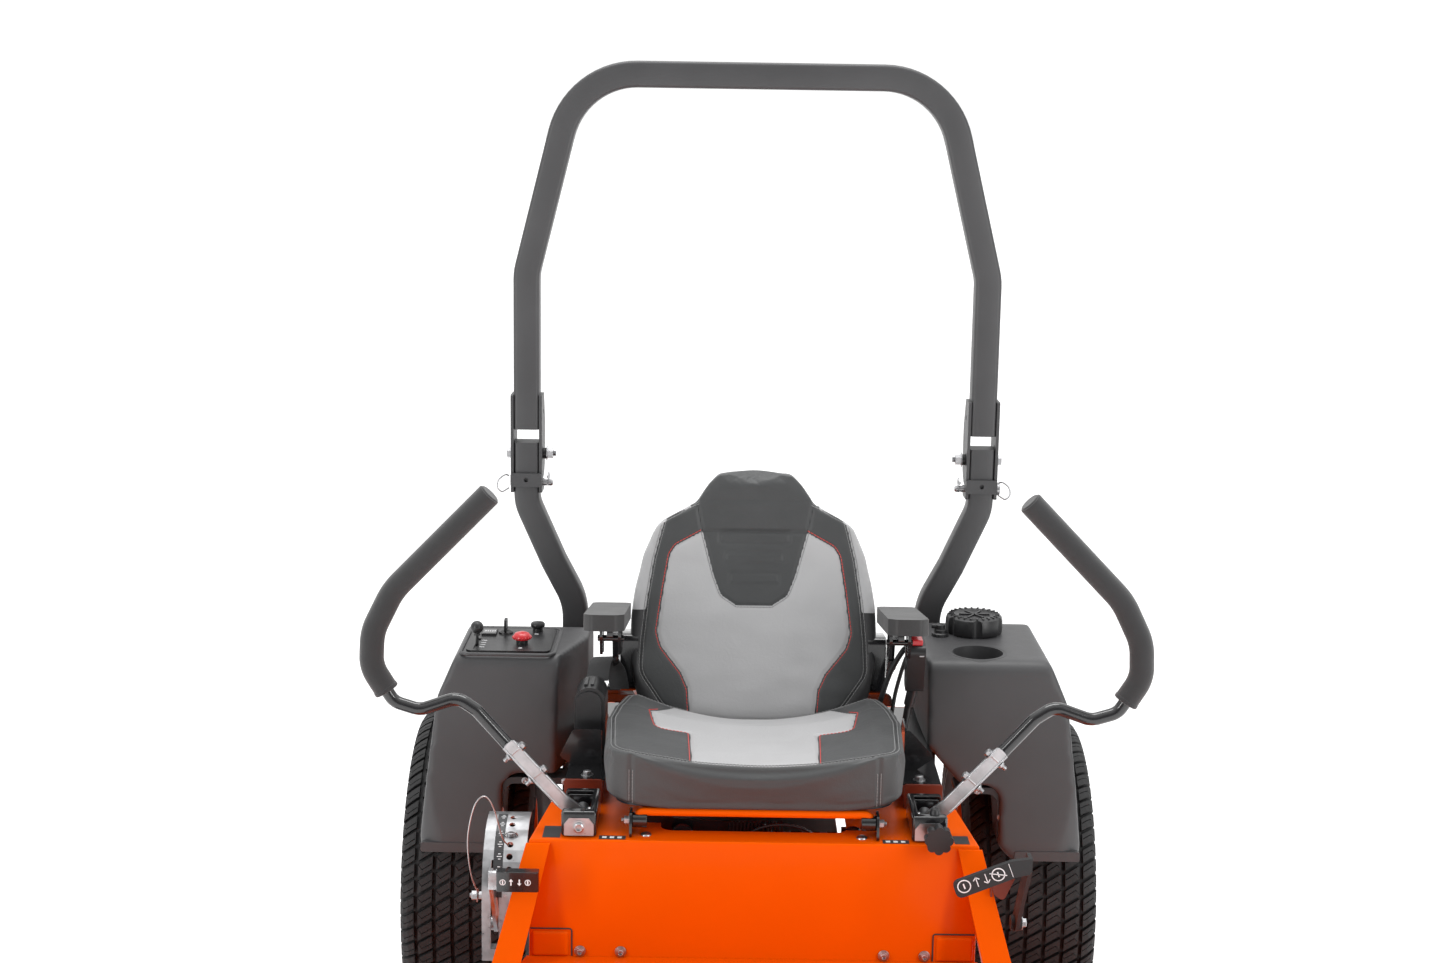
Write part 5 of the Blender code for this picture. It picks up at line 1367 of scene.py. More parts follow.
def build_seat_hardware():
    """The orange hinge bar with its flattened ends and nuts, the belt retractor and the buckle."""
    y, z = BAR_Y, BAR_Z
    front = [(-0.187, y, 0.65), (-0.187, y, 0.6665), (0.187, y, 0.6665), (0.187, y, 0.65)]
    bm = bmesh.new()
    add_tube(bm, rounded(front, [0, 0.012, 0.012, 0], closed=False), 0.0065, 24)
    add_flat(bm, "Z", rounded([(-0.18, y), (0.18, y), (0.18, -0.35), (-0.18, -0.35)], 0.02), 0.6625, 0.667)
    for side in (-1, 1):
        low, high = span(side, 0.13, 0.15)
        add_box(bm, (low, -0.68, 0.6665), (high, -0.37, 0.67))
    piece("seat_bar", bm, "orange_paint", "seat_base", ["seat_frame"], bevel=0.0008)
    ends, nuts = bmesh.new(), bmesh.new()
    for side in (-1, 1):
        low, high = span(side, 0.1705, 0.194)
        tab = [
            (y - 0.012, z - 0.0105), (y + 0.012, z - 0.0105), (y + 0.012, z + 0.012), (y - 0.012, z + 0.012),
        ]
        add_flat(ends, "X", rounded(tab, 0.008), low, high)
        add_bolt(nuts, (side * 0.1985, y, z), (side, 0, 0), 0.0125, 0.0075, tail=0.0045)
    piece("bar_ends", ends, "black_paint", "seat_base", bevel=0.003, segments=3)
    piece("bar_nuts", nuts, "zinc", "chassis", bevel=0.0004)
    bm = bmesh.new()
    drum = [(-0.3055, 0.716), (-0.2525, 0.716), (-0.2525, 0.796), (-0.3055, 0.796)]
    add_flat(bm, "Y", rounded(drum, [0.006, 0.006, 0.0255, 0.0255]), -0.45, -0.375)
    face = [(-0.302, 0.72), (-0.2585, 0.72), (-0.2585, 0.79), (-0.302, 0.79)]
    add_flat(bm, "Y", rounded(face, [0.006, 0.006, 0.021, 0.021]), -0.4535, -0.449)
    add_box(bm, (-0.297, -0.441, 0.676), (-0.2525, -0.35, 0.72))
    for x in (-0.287, -0.276):
        add_box(bm, (x - 0.003, -0.435, 0.79), (x + 0.003, -0.39, 0.7985))
    piece("retractor_cover", bm, "black_plastic", "seat", ["seat_belt_retractor"], bevel=0.006, segments=4)
    bm = bmesh.new()
    strap = [
        (-0.272, -0.365, 0.785), (-0.268, -0.34, 0.81), (-0.258, -0.31, 0.812), (-0.244, -0.3, 0.79),
        (-0.236, -0.3, 0.752),
    ]
    webbing = [(-0.02, -0.001), (0.02, -0.001), (0.02, 0.001), (-0.02, 0.001)]
    add_sweep(bm, smooth_path(strap), webbing, up=(0, 0.35, 0.94))
    piece("belt_webbing", bm, "black_plastic", "seat", material=BRAID)
    bm = bmesh.new()
    stalk = [(0.262, -0.36, 0.678), (0.27, -0.375, 0.75), (0.279, -0.395, 0.8)]
    add_tube(bm, rounded(stalk, [0, 0.05, 0], closed=False), 0.006, 20)
    add_rod(bm, (0.2705, -0.378, 0.755), (0.2765, -0.39, 0.79), 0.0085, 0.0095)
    body = rounded([(-0.432, 0.868), (-0.372, 0.882), (-0.37, 0.79), (-0.405, 0.782)], 0.012)
    add_flat(bm, "X", body, 0.262, 0.293)
    piece("buckle_cover", bm, "black_plastic", "seat", ["seat_belt_buckle"], bevel=0.0032, segments=3)
    bm = bmesh.new()
    upper = [
        (0.222, -0.31, 0.72), (0.227, -0.325, 0.749), (0.241, -0.335, 0.8), (0.262, -0.35, 0.845),
        (0.27, -0.372, 0.85),
    ]
    lower = [
        (0.24, -0.305, 0.685), (0.245, -0.325, 0.714), (0.252, -0.335, 0.768), (0.266, -0.352, 0.83),
        (0.272, -0.374, 0.838),
    ]
    add_tube(bm, smooth_path(upper), 0.0048, 16)
    add_tube(bm, smooth_path(lower), 0.0036, 16)
    piece("buckle_hoses", bm, "black_plastic", "seat", weld=0)
    bm = bmesh.new()
    for k, h in enumerate((0.853, 0.837, 0.822)):
        add_box(bm, (0.282, -0.4285 + 0.007 * k, h), (0.29, -0.4225 + 0.007 * k, h + 0.0028))
    piece("buckle_marks", bm, "zinc", "seat", bevel=0.0008)
    bm = bmesh.new()
    add_box(bm, (0.267, -0.421, 0.871), (0.288, -0.385, 0.881))
    piece("buckle_button", bm, "red_plastic", "seat", bevel=0.002)


# ---- lever controls ----
LEVER_X, LEVER_Y, LEVER_Z = 0.277, -0.66, 0.65
LEVER_PATH = [
    (0.351, 0.709), (0.447, 0.818), (0.477, 0.838), (0.537, 0.817), (0.5785, 0.8298), (0.592, 0.852),
]
GRIP_PATH = [(0.592, 0.852), (0.614, 0.888), (0.611, 0.945), (0.578, 1.012), (0.424, 1.17)]


def build_levers():
    """Each lever's bent tube, its flat bar with two bolts, and its foam grip."""
    for name, side in SIDES:
        body = f"{name}_lever"
        y = LEVER_Y
        path = [(side * x, y, z) for x, z in LEVER_PATH]
        points = rounded(path, [0, 0.035, 0.03, 0.035, 0.03, 0], closed=False, finest=0.003)
        bm = bmesh.new()
        add_tube(bm, points, 0.0105, 28)
        piece(f"{name}_lever_tube", bm, "black_paint", body, [f"{name}_control_lever"], bevel=0.001)
        foot = []
        for turn in [math.radians(127 + 15 * k) for k in range(13)]:
            foot.append((LEVER_X + 0.0115 * math.cos(turn), LEVER_Z + 0.0115 * math.sin(turn)))
        shape = foot + [(0.313, 0.662), (0.4045, 0.76), (0.3875, 0.776), (0.301, 0.683)]
        shape = rounded(shape, [0] * len(foot) + [0.02, 0.008, 0.008, 0.02])
        bm = bmesh.new()
        add_flat(bm, "Y", mirrored(shape, side), y - 0.018, y - 0.012)
        piece(f"{name}_lever_bar", bm, "zinc", body, bevel=0.0014, segments=3)
        bm = bmesh.new()
        across = Vector((side * 0.735, 0, -0.678))
        for x, z in ((0.374, 0.763), (0.339, 0.7245)):
            head = Vector((side * x, y - 0.015, z))
            add_bolt(bm, head + across * 0.001, -across, 0.0115, 0.006)
            add_rod(bm, head, head + across * 0.036, 0.0033)
            add_bolt(bm, head + across * 0.024, across, 0.0095, 0.0035)
            for k in range(7):
                end = head + across * (0.0285 + 0.0012 * k)
                add_rod(bm, end, end + across * 0.0007, 0.0039, segments=16)
        for (xa, za), (xb, zb) in (((0.3045, 0.6845), (0.3865, 0.7735)), ((0.3145, 0.6655), (0.402, 0.7605))):
            add_rod(bm, (side * xa, y - 0.0182, za), (side * xb, y - 0.0182, zb), 0.0019, segments=16)
        piece(f"{name}_lever_bolts", bm, "zinc", body, bevel=0.0003)
        start = Vector(GRIP_PATH[0])
        ahead = (Vector(GRIP_PATH[1]) - start).normalized()
        path = [(side * p[0], y, p[1]) for p in (start - ahead * 0.004, *GRIP_PATH[1:])]
        points = rounded(path, [0, 0.06, 0.09, 0.12, 0], closed=False, finest=0.003)
        bm = bmesh.new()
        add_tube(bm, points, 0.0195, 40)
        tail = points[0]
        run = (points[1] - points[0]).normalized()
        add_rod(bm, tail - run * 0.0015, tail + run * 0.006, 0.0203, segments=40)
        top, down = points[-1], (points[-1] - points[-2]).normalized()
        add_rod(bm, top - down * 0.003, top + down * 0.0022, 0.0192, 0.0165, segments=40)
        piece(f"{name}_grip_foam", bm, "foam_grip", body, [f"{name}_lever_grip"], 0.002, 3, weld=0)


KNOB_X, KNOB_Z = 0.289, 0.648


def build_housings():
    """The lever housings with their face plates, cheeks and pivot blocks, and the lobed tracking knob."""
    for name, side in SIDES:
        refined(f"{name}_lever_housing", 0.0022, 4)
        bm = bmesh.new()
        low, high = span(side, 0.2545, 0.3015)
        edge = 0.008
        plate = [
            (low, 0.6335), (high, 0.6335), (high, 0.652), (
                high - edge, 0.6625,
            ), (low + edge, 0.6625), (low, 0.652),
        ]
        bores = [circle((KNOB_X, KNOB_Z), 0.007)] if side > 0 else ()
        add_flat(bm, "Y", rounded(plate, 0.0015), -0.7253, -0.7223, bores)
        if side < 0:
            add_button_bolt(bm, (side * 0.278, -0.7253, 0.6475), (0, -1, 0), 0.0085, 0.0055)
        piece(f"{name}_housing_plate", bm, "zinc", "chassis", bevel=0.0006)
        bm = bmesh.new()
        low, high = span(side, 0.2615, 0.301)
        for y in (-0.704, -0.628):
            add_box(bm, (low, y, 0.6305), (high, y + 0.004, 0.668))
        piece(f"{name}_housing_cheeks", bm, "black_paint", "chassis", bevel=0.001)
        bm = clean_copy(f"{name}_pivot_block")
        piece(f"{name}_pivot_skin", bm, "zinc", f"{name}_pivot", [f"{name}_pivot_block"], bevel=0.001)
    bm = bmesh.new()
    outline = []
    for turn in turns(160):
        # The rim is eight round lobes of 7.5 mm, set 15.2 mm from the knob's middle.
        lobe = (turn + math.pi / 8) % (math.pi / 4) - math.pi / 8
        reach = 0.0152 * math.cos(lobe) + math.sqrt(0.0075**2 - (0.0152 * math.sin(lobe)) ** 2)
        outline.append((KNOB_X + reach * math.cos(turn), KNOB_Z + reach * math.sin(turn)))
    add_flat(bm, "Y", outline, -0.7655, -0.748)
    skirt = [(0, 0.0175), (0.008, 0.0172), (0.0125, 0.0148), (0.0135, 0.011), (0.0135, 0.0)]
    add_turned(bm, skirt, (KNOB_X, -0.756, KNOB_Z), "Y")
    bmesh.ops.recalc_face_normals(bm, faces=bm.faces)
    add_rod(bm, (KNOB_X, -0.75, KNOB_Z), (KNOB_X, -0.7175, KNOB_Z), 0.0065)
    add_rod(bm, (KNOB_X, -0.742, KNOB_Z), (KNOB_X, -0.749, KNOB_Z), 0.011, 0.0145)
    piece("tracking_knob_moulding", bm, "black_plastic", "tracking_adjuster", ["tracking_knob"], 0.0014, 3)
    bm = bmesh.new()
    add_turned(bm, [(0, 0.0095), (0.005, 0.009), (0.0075, 0.006), (0.008, 0.0)], (0.287, -0.708, 0.6725))
    add_rod(bm, (-0.272, -0.714, 0.6725), (-0.272, -0.714, 0.676), 0.0042)
    piece("housing_button", bm, "black_plastic", "chassis")


# ---- orange body ----
def build_orange_body():
    """The seat box and footwell with their bolts, corner boxes, weld seams and plain labels."""
    refined("seat_box", 0.0045, 4)
    refined("leg_well", 0.0035, 3)
    bm = bmesh.new()
    for x in (-0.275, -0.21, 0.21, 0.275):
        add_rod(bm, (x, -0.735, 0.444), (x, -0.737, 0.444), 0.0092)
        add_button_bolt(bm, (x, -0.737, 0.444), (0, -1, 0), 0.0062, 0.0065)
    for side in (-1, 1):
        add_turned(
            bm, [(0, 0.0042), (0.005, 0.0036), (0.0082, 0.0018), (0.009, 0.0)], (side * 0.172, -0.706, 0.63),
        )
    piece("box_bolts", bm, "zinc", "chassis", bevel=0.0004)
    bm = bmesh.new()
    for side in (-1, 1):
        low, high = span(side, 0.292, 0.353)
        add_box(bm, (low, -0.7385, 0.4345), (high, -0.72, 0.478))
    piece("corner_boxes", bm, "orange_paint", "chassis", bevel=0.006, segments=4)
    seams = bmesh.new()
    for side in (-1, 1):
        line = [
            (x, -0.7358, z)
            for x, z in mirrored([(0.288, 0.436), (0.288, 0.4815), (0.354, 0.4815)], side)
        ]
        add_tube(seams, rounded(line, [0, 0.004, 0], closed=False), 0.0012, 8)
    piece("corner_seams", seams, None, "chassis", material=CHARCOAL_DARK)
    labels = bmesh.new()
    for x, y, wide, deep in (
        (0.225, -0.722, 0.021, 0.008), (-0.225, -0.722, 0.021, 0.008), (-0.322, -0.7, 0.014, 0.026),
        (0.33, -0.71, 0.012, 0.018),
    ):
        add_box(labels, (x - wide, y - deep, 0.6302), (x + wide, y + deep, 0.6305))
    piece("plain_labels", labels, None, "chassis", material=LABEL_DARK)
    marks = bmesh.new()
    for x in (0.225, -0.225):
        for k in range(3):
            add_box(marks, (x - 0.016 + 0.012 * k, -0.7255, 0.6305), (x - 0.009 + 0.012 * k, -0.7185, 0.6307))
    piece("label_marks", marks, None, "chassis", material=LABEL_MARK)


def build_seat_rails():
    """The covers of the seat's rails: their shaded ends and their bolts."""
    bm = bmesh.new()
    for side in (-1, 1):
        low, high = span(side, 0.25, 0.314)
        end = [(low, 0.63), (high, 0.63), (high, 0.672), (low, 0.672)]
        add_flat(bm, "Y", rounded(end, 0.004), -0.565, -0.5605)
    piece("rail_ends", bm, "orange_paint", "chassis", bevel=0.001, material=SHADED_ORANGE)
    bm = bmesh.new()
    for side in (-1, 1):
        for y, z in ((-0.54, 0.672), (-0.3, 0.668)):
            add_bolt(bm, (side * 0.277, y, z), (0, 0, 1), 0.013, 0.006)
    piece("rail_bolts", bm, "zinc", "chassis", bevel=0.0004)


def build_box_inside():
    """What is seen in the gap under the seat: the battery, its red boot, the shield, springs and pulleys."""
    bm = bmesh.new()
    add_box(bm, (-0.14, -0.6, 0.52), (0.14, -0.25, 0.6))
    for k in range(9):
        add_box(bm, (-0.13 + 0.03 * k, -0.665, 0.585), (-0.118 + 0.03 * k, -0.61, 0.607))
    add_rod(bm, (-0.13, -0.64, 0.598), (0.02, -0.64, 0.598), 0.007)
    piece("battery_case", bm, "black_plastic", "chassis", bevel=0.003)
    bm = bmesh.new()
    add_rod(bm, (0.05, -0.655, 0.607), (0.1, -0.645, 0.607), 0.0085)
    piece("battery_boot", bm, "red_plastic", "chassis", bevel=0.002)
    bm = bmesh.new()
    for side in (-1, 1):
        low, high = span(side, 0.145, 0.189)
        add_box(bm, (low, -0.61, 0.52), (high, -0.6, 0.61))
    shield = [
        (-0.184, 0.606), (-0.184, 0.652), (-0.158, 0.654), (-0.128, 0.637), (-0.05, 0.634), (0.02, 0.63),
        (0.02, 0.606),
    ]
    add_flat(bm, "Y", rounded(shield, [0, 0.004, 0.012, 0.012, 0.01, 0.004, 0]), -0.65, -0.6475)
    pulley = [(0.006, -0.004), (0.0155, -0.004), (0.0175, 0), (0.0155, 0.004), (0.006, 0.004)]
    for x in (-0.115, 0.16):
        add_turned(bm, pulley, (x, -0.668, 0.618), "Y", closed=True)
    for k in range(15):
        x = -0.04 + 0.006 * k
        add_rod(bm, (x, -0.66, 0.606), (x + 0.002, -0.66, 0.638), 0.0018, segments=10)
    arc = []
    for turn in [math.radians(12 * k) for k in range(16)]:
        arc.append((0.045 + 0.07 * math.cos(turn), -0.672, 0.59 + 0.048 * math.sin(turn)))
    add_tube(bm, arc, 0.0022, 12)
    piece("box_mechanism", bm, "black_paint", "chassis", bevel=0.001)


def build_belt_brackets():
    """Black covers on the rails and on the bar's tabs, and the plates that carry the belt's two ends."""
    bm = bmesh.new()
    tab = rounded([(-0.7245, 0.6302), (-0.679, 0.6302), (-0.684, 0.6695), (-0.718, 0.6695)], 0.006)
    for side in (-1, 1):
        low, high = span(side, 0.246, 0.312)
        add_box(bm, (low, -0.5595, 0.6692), (high, -0.12, 0.672))
        add_flat(bm, "X", tab, *span(side, 0.1942, 0.1985))
    right = [(-0.3283, 0.6867), (-0.3048, 0.7341), (-0.258, 0.7349), (-0.2565, 0.672), (-0.3071, 0.672)]
    add_flat(bm, "Y", rounded(right, 0.006), -0.487, -0.484)
    add_box(bm, (-0.2595, -0.485, 0.672), (-0.2565, -0.477, 0.733))
    left = [(0.2555, 0.748), (0.2705, 0.734), (0.3074, 0.6935), (0.2778, 0.672), (0.2555, 0.672)]
    add_flat(bm, "Y", rounded(left, 0.006), -0.487, -0.484)
    add_box(bm, (0.2555, -0.485, 0.672), (0.2585, -0.43, 0.745))
    piece("belt_brackets", bm, "black_paint", "chassis", bevel=0.001)


# ---- height plate, transport release and parking brake ----
HEIGHT_CENTRE = Vector((-0.388, -0.64, 0.53))
HEIGHT_RADIUS = 0.108


def arc_point(degrees, radius=HEIGHT_RADIUS):
    """A point on the height plate's arc, in its plane; 90 degrees is the top and 180 the front."""
    turn = math.radians(degrees)
    return Vector((0, HEIGHT_CENTRE.y + radius * math.cos(turn), HEIGHT_CENTRE.z + radius * math.sin(turn)))


def outward(point):
    """The direction from the height plate's centre to a point on its arc."""
    return (point - Vector((0, HEIGHT_CENTRE.y, HEIGHT_CENTRE.z))).normalized()


def build_height_scale():
    """A plain dark strip along the plate's edge, with light dashes in place of its scale."""
    refined("height_plate", 0.0007)
    bm = bmesh.new()
    low_x, high_x = -0.413, -0.398
    for k in range(13):
        one, two = (arc_point(start + 6.5 * k, HEIGHT_RADIUS + 0.0002) for start in (92, 98.3))
        out = outward(one) * 0.0003
        corners = [(low_x, *one.yz), (low_x, *two.yz), (high_x, *two.yz), (high_x, *one.yz)]
        low_ring = [bm.verts.new(c) for c in corners]
        high_ring = [bm.verts.new(Vector(c) + out) for c in corners]
        bm.faces.new(low_ring)
        bm.faces.new(high_ring)
        for i in range(4):
            bm.faces.new((low_ring[i - 1], low_ring[i], high_ring[i], high_ring[i - 1]))
    piece("height_scale", bm, None, "chassis", material=LABEL_DARK, weld=0)
    bm = bmesh.new()
    for k in range(7):
        at = arc_point(98 + 11 * k, HEIGHT_RADIUS + 0.0006)
        out = outward(at)
        along = Vector((0, -out.z, out.y))
        for shift, wide in ((0.0, 0.008), (0.0042, 0.004), (-0.0042, 0.004)):
            middle = Vector((-0.404, at.y, at.z)) + along * shift
            place = Matrix.Translation(middle) @ Matrix((Vector((1, 0, 0)), along, out)).transposed().to_4x4()
            add_block(bm, place, (wide, 0.0011, 0.0004))
    piece("height_scale_marks", bm, None, "chassis", material=LABEL_MARK, weld=0)


def build_height_pin():
    """The height pin with its pull ring."""
    bm = clean_copy("height_pin")
    at = arc_point(120, HEIGHT_RADIUS + 0.006)
    ring = []
    for turn in turns(40):
        reach = Vector((0.0105 * math.cos(turn), -0.0045 * math.sin(turn), 0.0105 * math.sin(turn)))
        ring.append(Vector((-0.388, at.y, at.z - 0.009)) + reach)
    add_tube(bm, ring, 0.0014, 12, closed=True)
    piece("height_pin_and_ring", bm, "zinc", "cut_height_pin", ["height_pin"], bevel=0.0005, weld=0)


def build_height_spring():
    """The coil spring with its hook, and the bolts beside it."""
    bm = bmesh.new()
    add_bolt(bm, (-0.4302, -0.72, 0.529), (-1, 0, 0), 0.0115, 0.006)
    add_rod(bm, (-0.43, -0.72, 0.529), (-0.444, -0.72, 0.529), 0.0036)
    add_bolt(bm, (-0.4395, -0.72, 0.529), (-1, 0, 0), 0.0135, 0.008, tail=0.003)
    spring, coils, steps = [], 8, 16
    for k in range(coils * steps):
        turn = 2 * math.pi * k / steps
        x = -0.4 + 0.0175 * k / (coils * steps)
        spring.append((x, -0.756 + 0.0055 * math.cos(turn), 0.561 + 0.0055 * math.sin(turn)))
    add_tube(bm, spring, 0.0011, 10)
    hook = [(-0.3825, -0.756, 0.5665), (-0.374, -0.757, 0.57), (-0.368, -0.753, 0.565), (-0.37, -0.75, 0.557)]
    add_tube(bm, smooth_path(hook), 0.0011, 10)
    piece("height_spring", bm, "zinc", "chassis", bevel=0.0003, weld=0)


def build_lanyard():
    """The wire that ties the height pin to the plate's bolt."""
    line = [
        (
            -0.3885, -0.7365, 0.6195,
        ), (-0.3965, -0.7545, 0.6405), (-0.408, -0.772, 0.695), (-0.4205, -0.78, 0.7155),
        (
            -0.4345, -0.786, 0.704,
        ), (-0.4445, -0.786, 0.665), (-0.4475, -0.776, 0.625), (-0.4445, -0.756, 0.575),
        (-0.4378, -0.7285, 0.536),
    ]
    line = smooth_path(line, steps=8)
    bm = bmesh.new()
    add_tube(bm, line, 0.0011, 12)
    lanyard = piece("height_pin_lanyard", bm, None, "chassis", material=MATS["zinc"], weld=0)


def build_transport_release():
    """The deck's release strap with a black sleeve round its end, marked with generic signs."""
    bm = clean_copy("deck_lift_lever")
    piece("release_strap", bm, "zinc", "deck_release", ["deck_lift_lever"], bevel=0.0012, segments=3)
    bm = bmesh.new()
    sleeve = [(-0.4005, -0.8085), (-0.3345, -0.8085), (-0.3345, -0.7895), (-0.4005, -0.7895)]
    add_flat(bm, "Z", rounded(sleeve, 0.004), 0.5705, 0.6025)
    piece("release_sleeve", bm, "black_paint", "deck_release", bevel=0.005, segments=4)
    bm = bmesh.new()
    back, z = -0.8087, 0.5865
    front = back - 0.0003
    arrow = [
        (-0.001, -0.005), (0.001, -0.005), (0.001, 0.0015), (0.0032, 0.0015), (0, 0.0055), (-0.0032, 0.0015),
        (-0.001, 0.0015),
    ]
    for x in (-0.39, -0.351):
        add_flat(bm, "Y", circle((x, z), 0.0048, 24), front, back, [circle((x, z), 0.0036, 24)])
        bar = [(x - 0.001, z - 0.003), (x + 0.001, z - 0.003), (x + 0.001, z + 0.003), (x - 0.001, z + 0.003)]
        add_flat(bm, "Y", bar, front, back)
    for x, flip in ((-0.377, 1), (-0.364, -1)):
        add_flat(bm, "Y", [(x + a, z + flip * b) for a, b in arrow], front, back)
    piece("release_marks", bm, None, "deck_release", material=LABEL_MARK)


def oblong(wide, tall):
    """The corners of an upright bar about (0, 0), from its half width and half height."""
    return [(-wide, -tall), (wide, -tall), (wide, tall), (-wide, tall)]


def build_brake():
    """The parking brake's strap with generic marks, its gusset and its pivot bolt."""
    bm = clean_copy("parking_brake_lever")
    node = "parking_brake_lever"
    piece("brake_handle", bm, "black_plastic", "parking_brake", [node], 0.0018, 4, material=MATT_BLACK)
    low, high = Vector((0.3058, 0, 0.6013)), Vector((0.4, 0, 0.638))
    run = (high - low).normalized()
    up = Vector((-run.z, 0, run.x))
    y = -0.8543
    bm = bmesh.new()

    def mark(share, points, holes=()):
        """Lays a flat mark, given along and across the strap, at a share of its length."""
        middle = low.lerp(high, share) + up * 0.0028
        placed = [[(middle + run * a + up * b).xz for a, b in ring] for ring in (points, *holes)]
        add_flat(bm, "Y", placed[0], y - 0.0004, y, placed[1:])

    for share in (0.155, 0.7):
        mark(share, circle((0, 0), 0.0106, 40), [circle((0, 0), 0.0089, 40)])
        mark(share, oblong(0.0011, 0.0042))
    mark(0.7, [(-0.0125, 0.0054), (-0.0118, 0.0066), (0.0125, -0.0054), (0.0118, -0.0066)])
    for share, flip in ((0.36, 1), (0.51, -1)):
        mark(share, oblong(0.0007, 0.008))
        for lean in (1, -1):
            barb = [(0, 0.0085), (0, 0.0065), (0.0045, 0.0025), (0.0052, 0.0038)]
            mark(share, [(lean * a, flip * b) for a, b in barb])
    mark(0.9, [(-0.0004, -0.0115), (0.0004, -0.0115), (0.0004, 0.0108), (-0.0004, 0.0108)])
    piece("brake_marks", bm, None, "parking_brake", material=LABEL_MARK)
    bm = bmesh.new()
    tab = rounded(
        [(0.3715, 0.586), (0.413, 0.6), (0.392, 0.5525), (0.3765, 0.565)], [0.002, 0.002, 0.006, 0.004],
    )
    add_flat(bm, "Y", tab, -0.772, -0.769)
    add_box(bm, (0.3715, -0.771, 0.56), (0.3745, -0.735, 0.5855))
    piece("brake_gusset", bm, "orange_paint", "chassis", bevel=0.0008, material=SHADED_ORANGE)
    bm = bmesh.new()
    add_bolt(bm, (0.4285, -0.73, 0.501), (1, 0, 0), 0.013, 0.006)
    piece("brake_pivot_bolt", bm, "zinc", "chassis", bevel=0.0004)


# ---- wheels ----
REAR_X, REAR_RADIUS = 0.52, 0.305
CROWN = [
    (0.0, 0.305), (
        0.045, 0.3045,
    ), (0.075, 0.303), (0.098, 0.2985), (0.11, 0.291), (0.1175, 0.278), (0.1195, 0.262),
]


def crown(across):
    """The tread's radius at a distance from the tyre's middle."""
    across = abs(across)
    for (a, ra), (b, rb) in zip(CROWN, CROWN[1:]):
        if across <= b:
            return ra + (rb - ra) * (across - a) / (b - a)
    return CROWN[-1][1]


def add_tread_block(bm, centre, corners, deep):
    """A rubber block on the tread. corners are (angle, across) going round; it follows the crown."""
    tops, feet = [], []
    for angle, across in corners:
        out = Vector((0, math.sin(angle), math.cos(angle)))
        top = crown(across)
        tops.append(bm.verts.new(centre + Vector((across, 0, 0)) + out * top))
        feet.append(bm.verts.new(centre + Vector((across, 0, 0)) + out * (top - deep)))
    bm.faces.new(tops)
    for k in range(len(tops)):
        bm.faces.new((tops[k - 1], tops[k], feet[k], feet[k - 1]))


TREAD_PITCHES, TREAD_COLUMNS = 64, 7
BLOCK_SHARES = (0.0, 0.16, 0.5, 0.84, 1.0)
SIPE = (0.11, -0.19, 0.0, 0.19, -0.11)


def add_tread(bm, centre, side):
    """Columns of slanted blocks, staggered by half a pitch; a wavy sipe parts each block in two."""
    step = 2 * math.pi / TREAD_PITCHES
    for k in range(TREAD_PITCHES):
        for column in range(TREAD_COLUMNS):
            middle = 0.0335 * (column - 3)
            base = step * (k + (0.5 if column % 2 else 0.0))
            for part in (-1, 1):
                outer = [(0.55 * (share - 0.5) + part * 0.38, share) for share in BLOCK_SHARES]
                inner = [(mid + part * 0.028, share) for mid, share in zip(SIPE, BLOCK_SHARES)]
                rows = []
                for line in (outer, inner):
                    row = []
                    for rise, share in line:
                        bulge = -side * 0.0034 * (1 - min(1.0, abs(rise - 0.55 * (share - 0.5)) / 0.38))
                        row.append((base + step * rise, middle + 0.0265 * (share - 0.5) + bulge))
                    rows.append(row)
                for i in range(4):
                    corners = [rows[0][i], rows[0][i + 1], rows[1][i + 1], rows[1][i]]
                    add_tread_block(bm, centre, corners, 0.0095)


def build_rear_tyre(name, side):
    """A rear tyre with its tread and the ribs on its walls, the wheel's nuts, and the rim."""
    centre = Vector((side * REAR_X, 0, REAR_RADIUS))
    bm = bmesh.new()
    half = [
        (
            0.1552, 0.094,
        ), (0.163, 0.104), (0.168, 0.1075), (0.176, 0.109), (0.2, 0.1165), (0.203, 0.1185), (0.208, 0.1185),
        (0.211, 0.117), (
            0.235, 0.1185,
        ), (0.262, 0.1165), (0.277, 0.1125), (0.286, 0.1035), (0.2915, 0.085), (0.2945, 0.05),
        (0.2955, 0.0),
    ]
    profile = half + [(r, -h) for r, h in reversed(half[:-1])]
    inner = [(0.1552, -0.084), (0.2, -0.1), (0.28, -0.09), (0.28, 0.09), (0.2, 0.1), (0.1552, 0.084)]
    add_turned(bm, profile + inner, centre, "X", steps=112, closed=True)
    add_tread(bm, centre, side)
    for turn in turns(56):
        for face in (-1, 1):
            out = Vector((0, math.sin(turn), math.cos(turn)))
            start = centre + Vector((face * 0.1172, 0, 0)) + out * 0.214
            add_rod(bm, start, start + out * 0.028 + Vector((face * 0.0006, 0, 0)), 0.0018, segments=6)
    wheel = f"{name}_drive_wheel"
    piece(f"{name}_tyre_tread", bm, "tyre_rubber", wheel, [f"{name}_rear_tyre"], weld=0, sharp=30)
    hub = centre + Vector((side * -0.016, 0, 0))
    bm = bmesh.new()
    for across, rise in circle((0, 0), 0.057, 5):
        add_bolt(bm, hub + Vector((0, across, rise)), (side, 0, 0), 0.021, 0.014)
    add_rod(bm, hub, hub + Vector((side * 0.018, 0, 0)), 0.031, 0.027)
    valve = centre + Vector((side * 0.03, 0.0, 0.137))
    add_rod(bm, valve, valve + Vector((side * 0.028, 0, -0.006)), 0.0042)
    piece(f"{name}_wheel_nuts", bm, "zinc", wheel, bevel=0.0006)
    refined(f"{name}_rear_rim", 0.002)


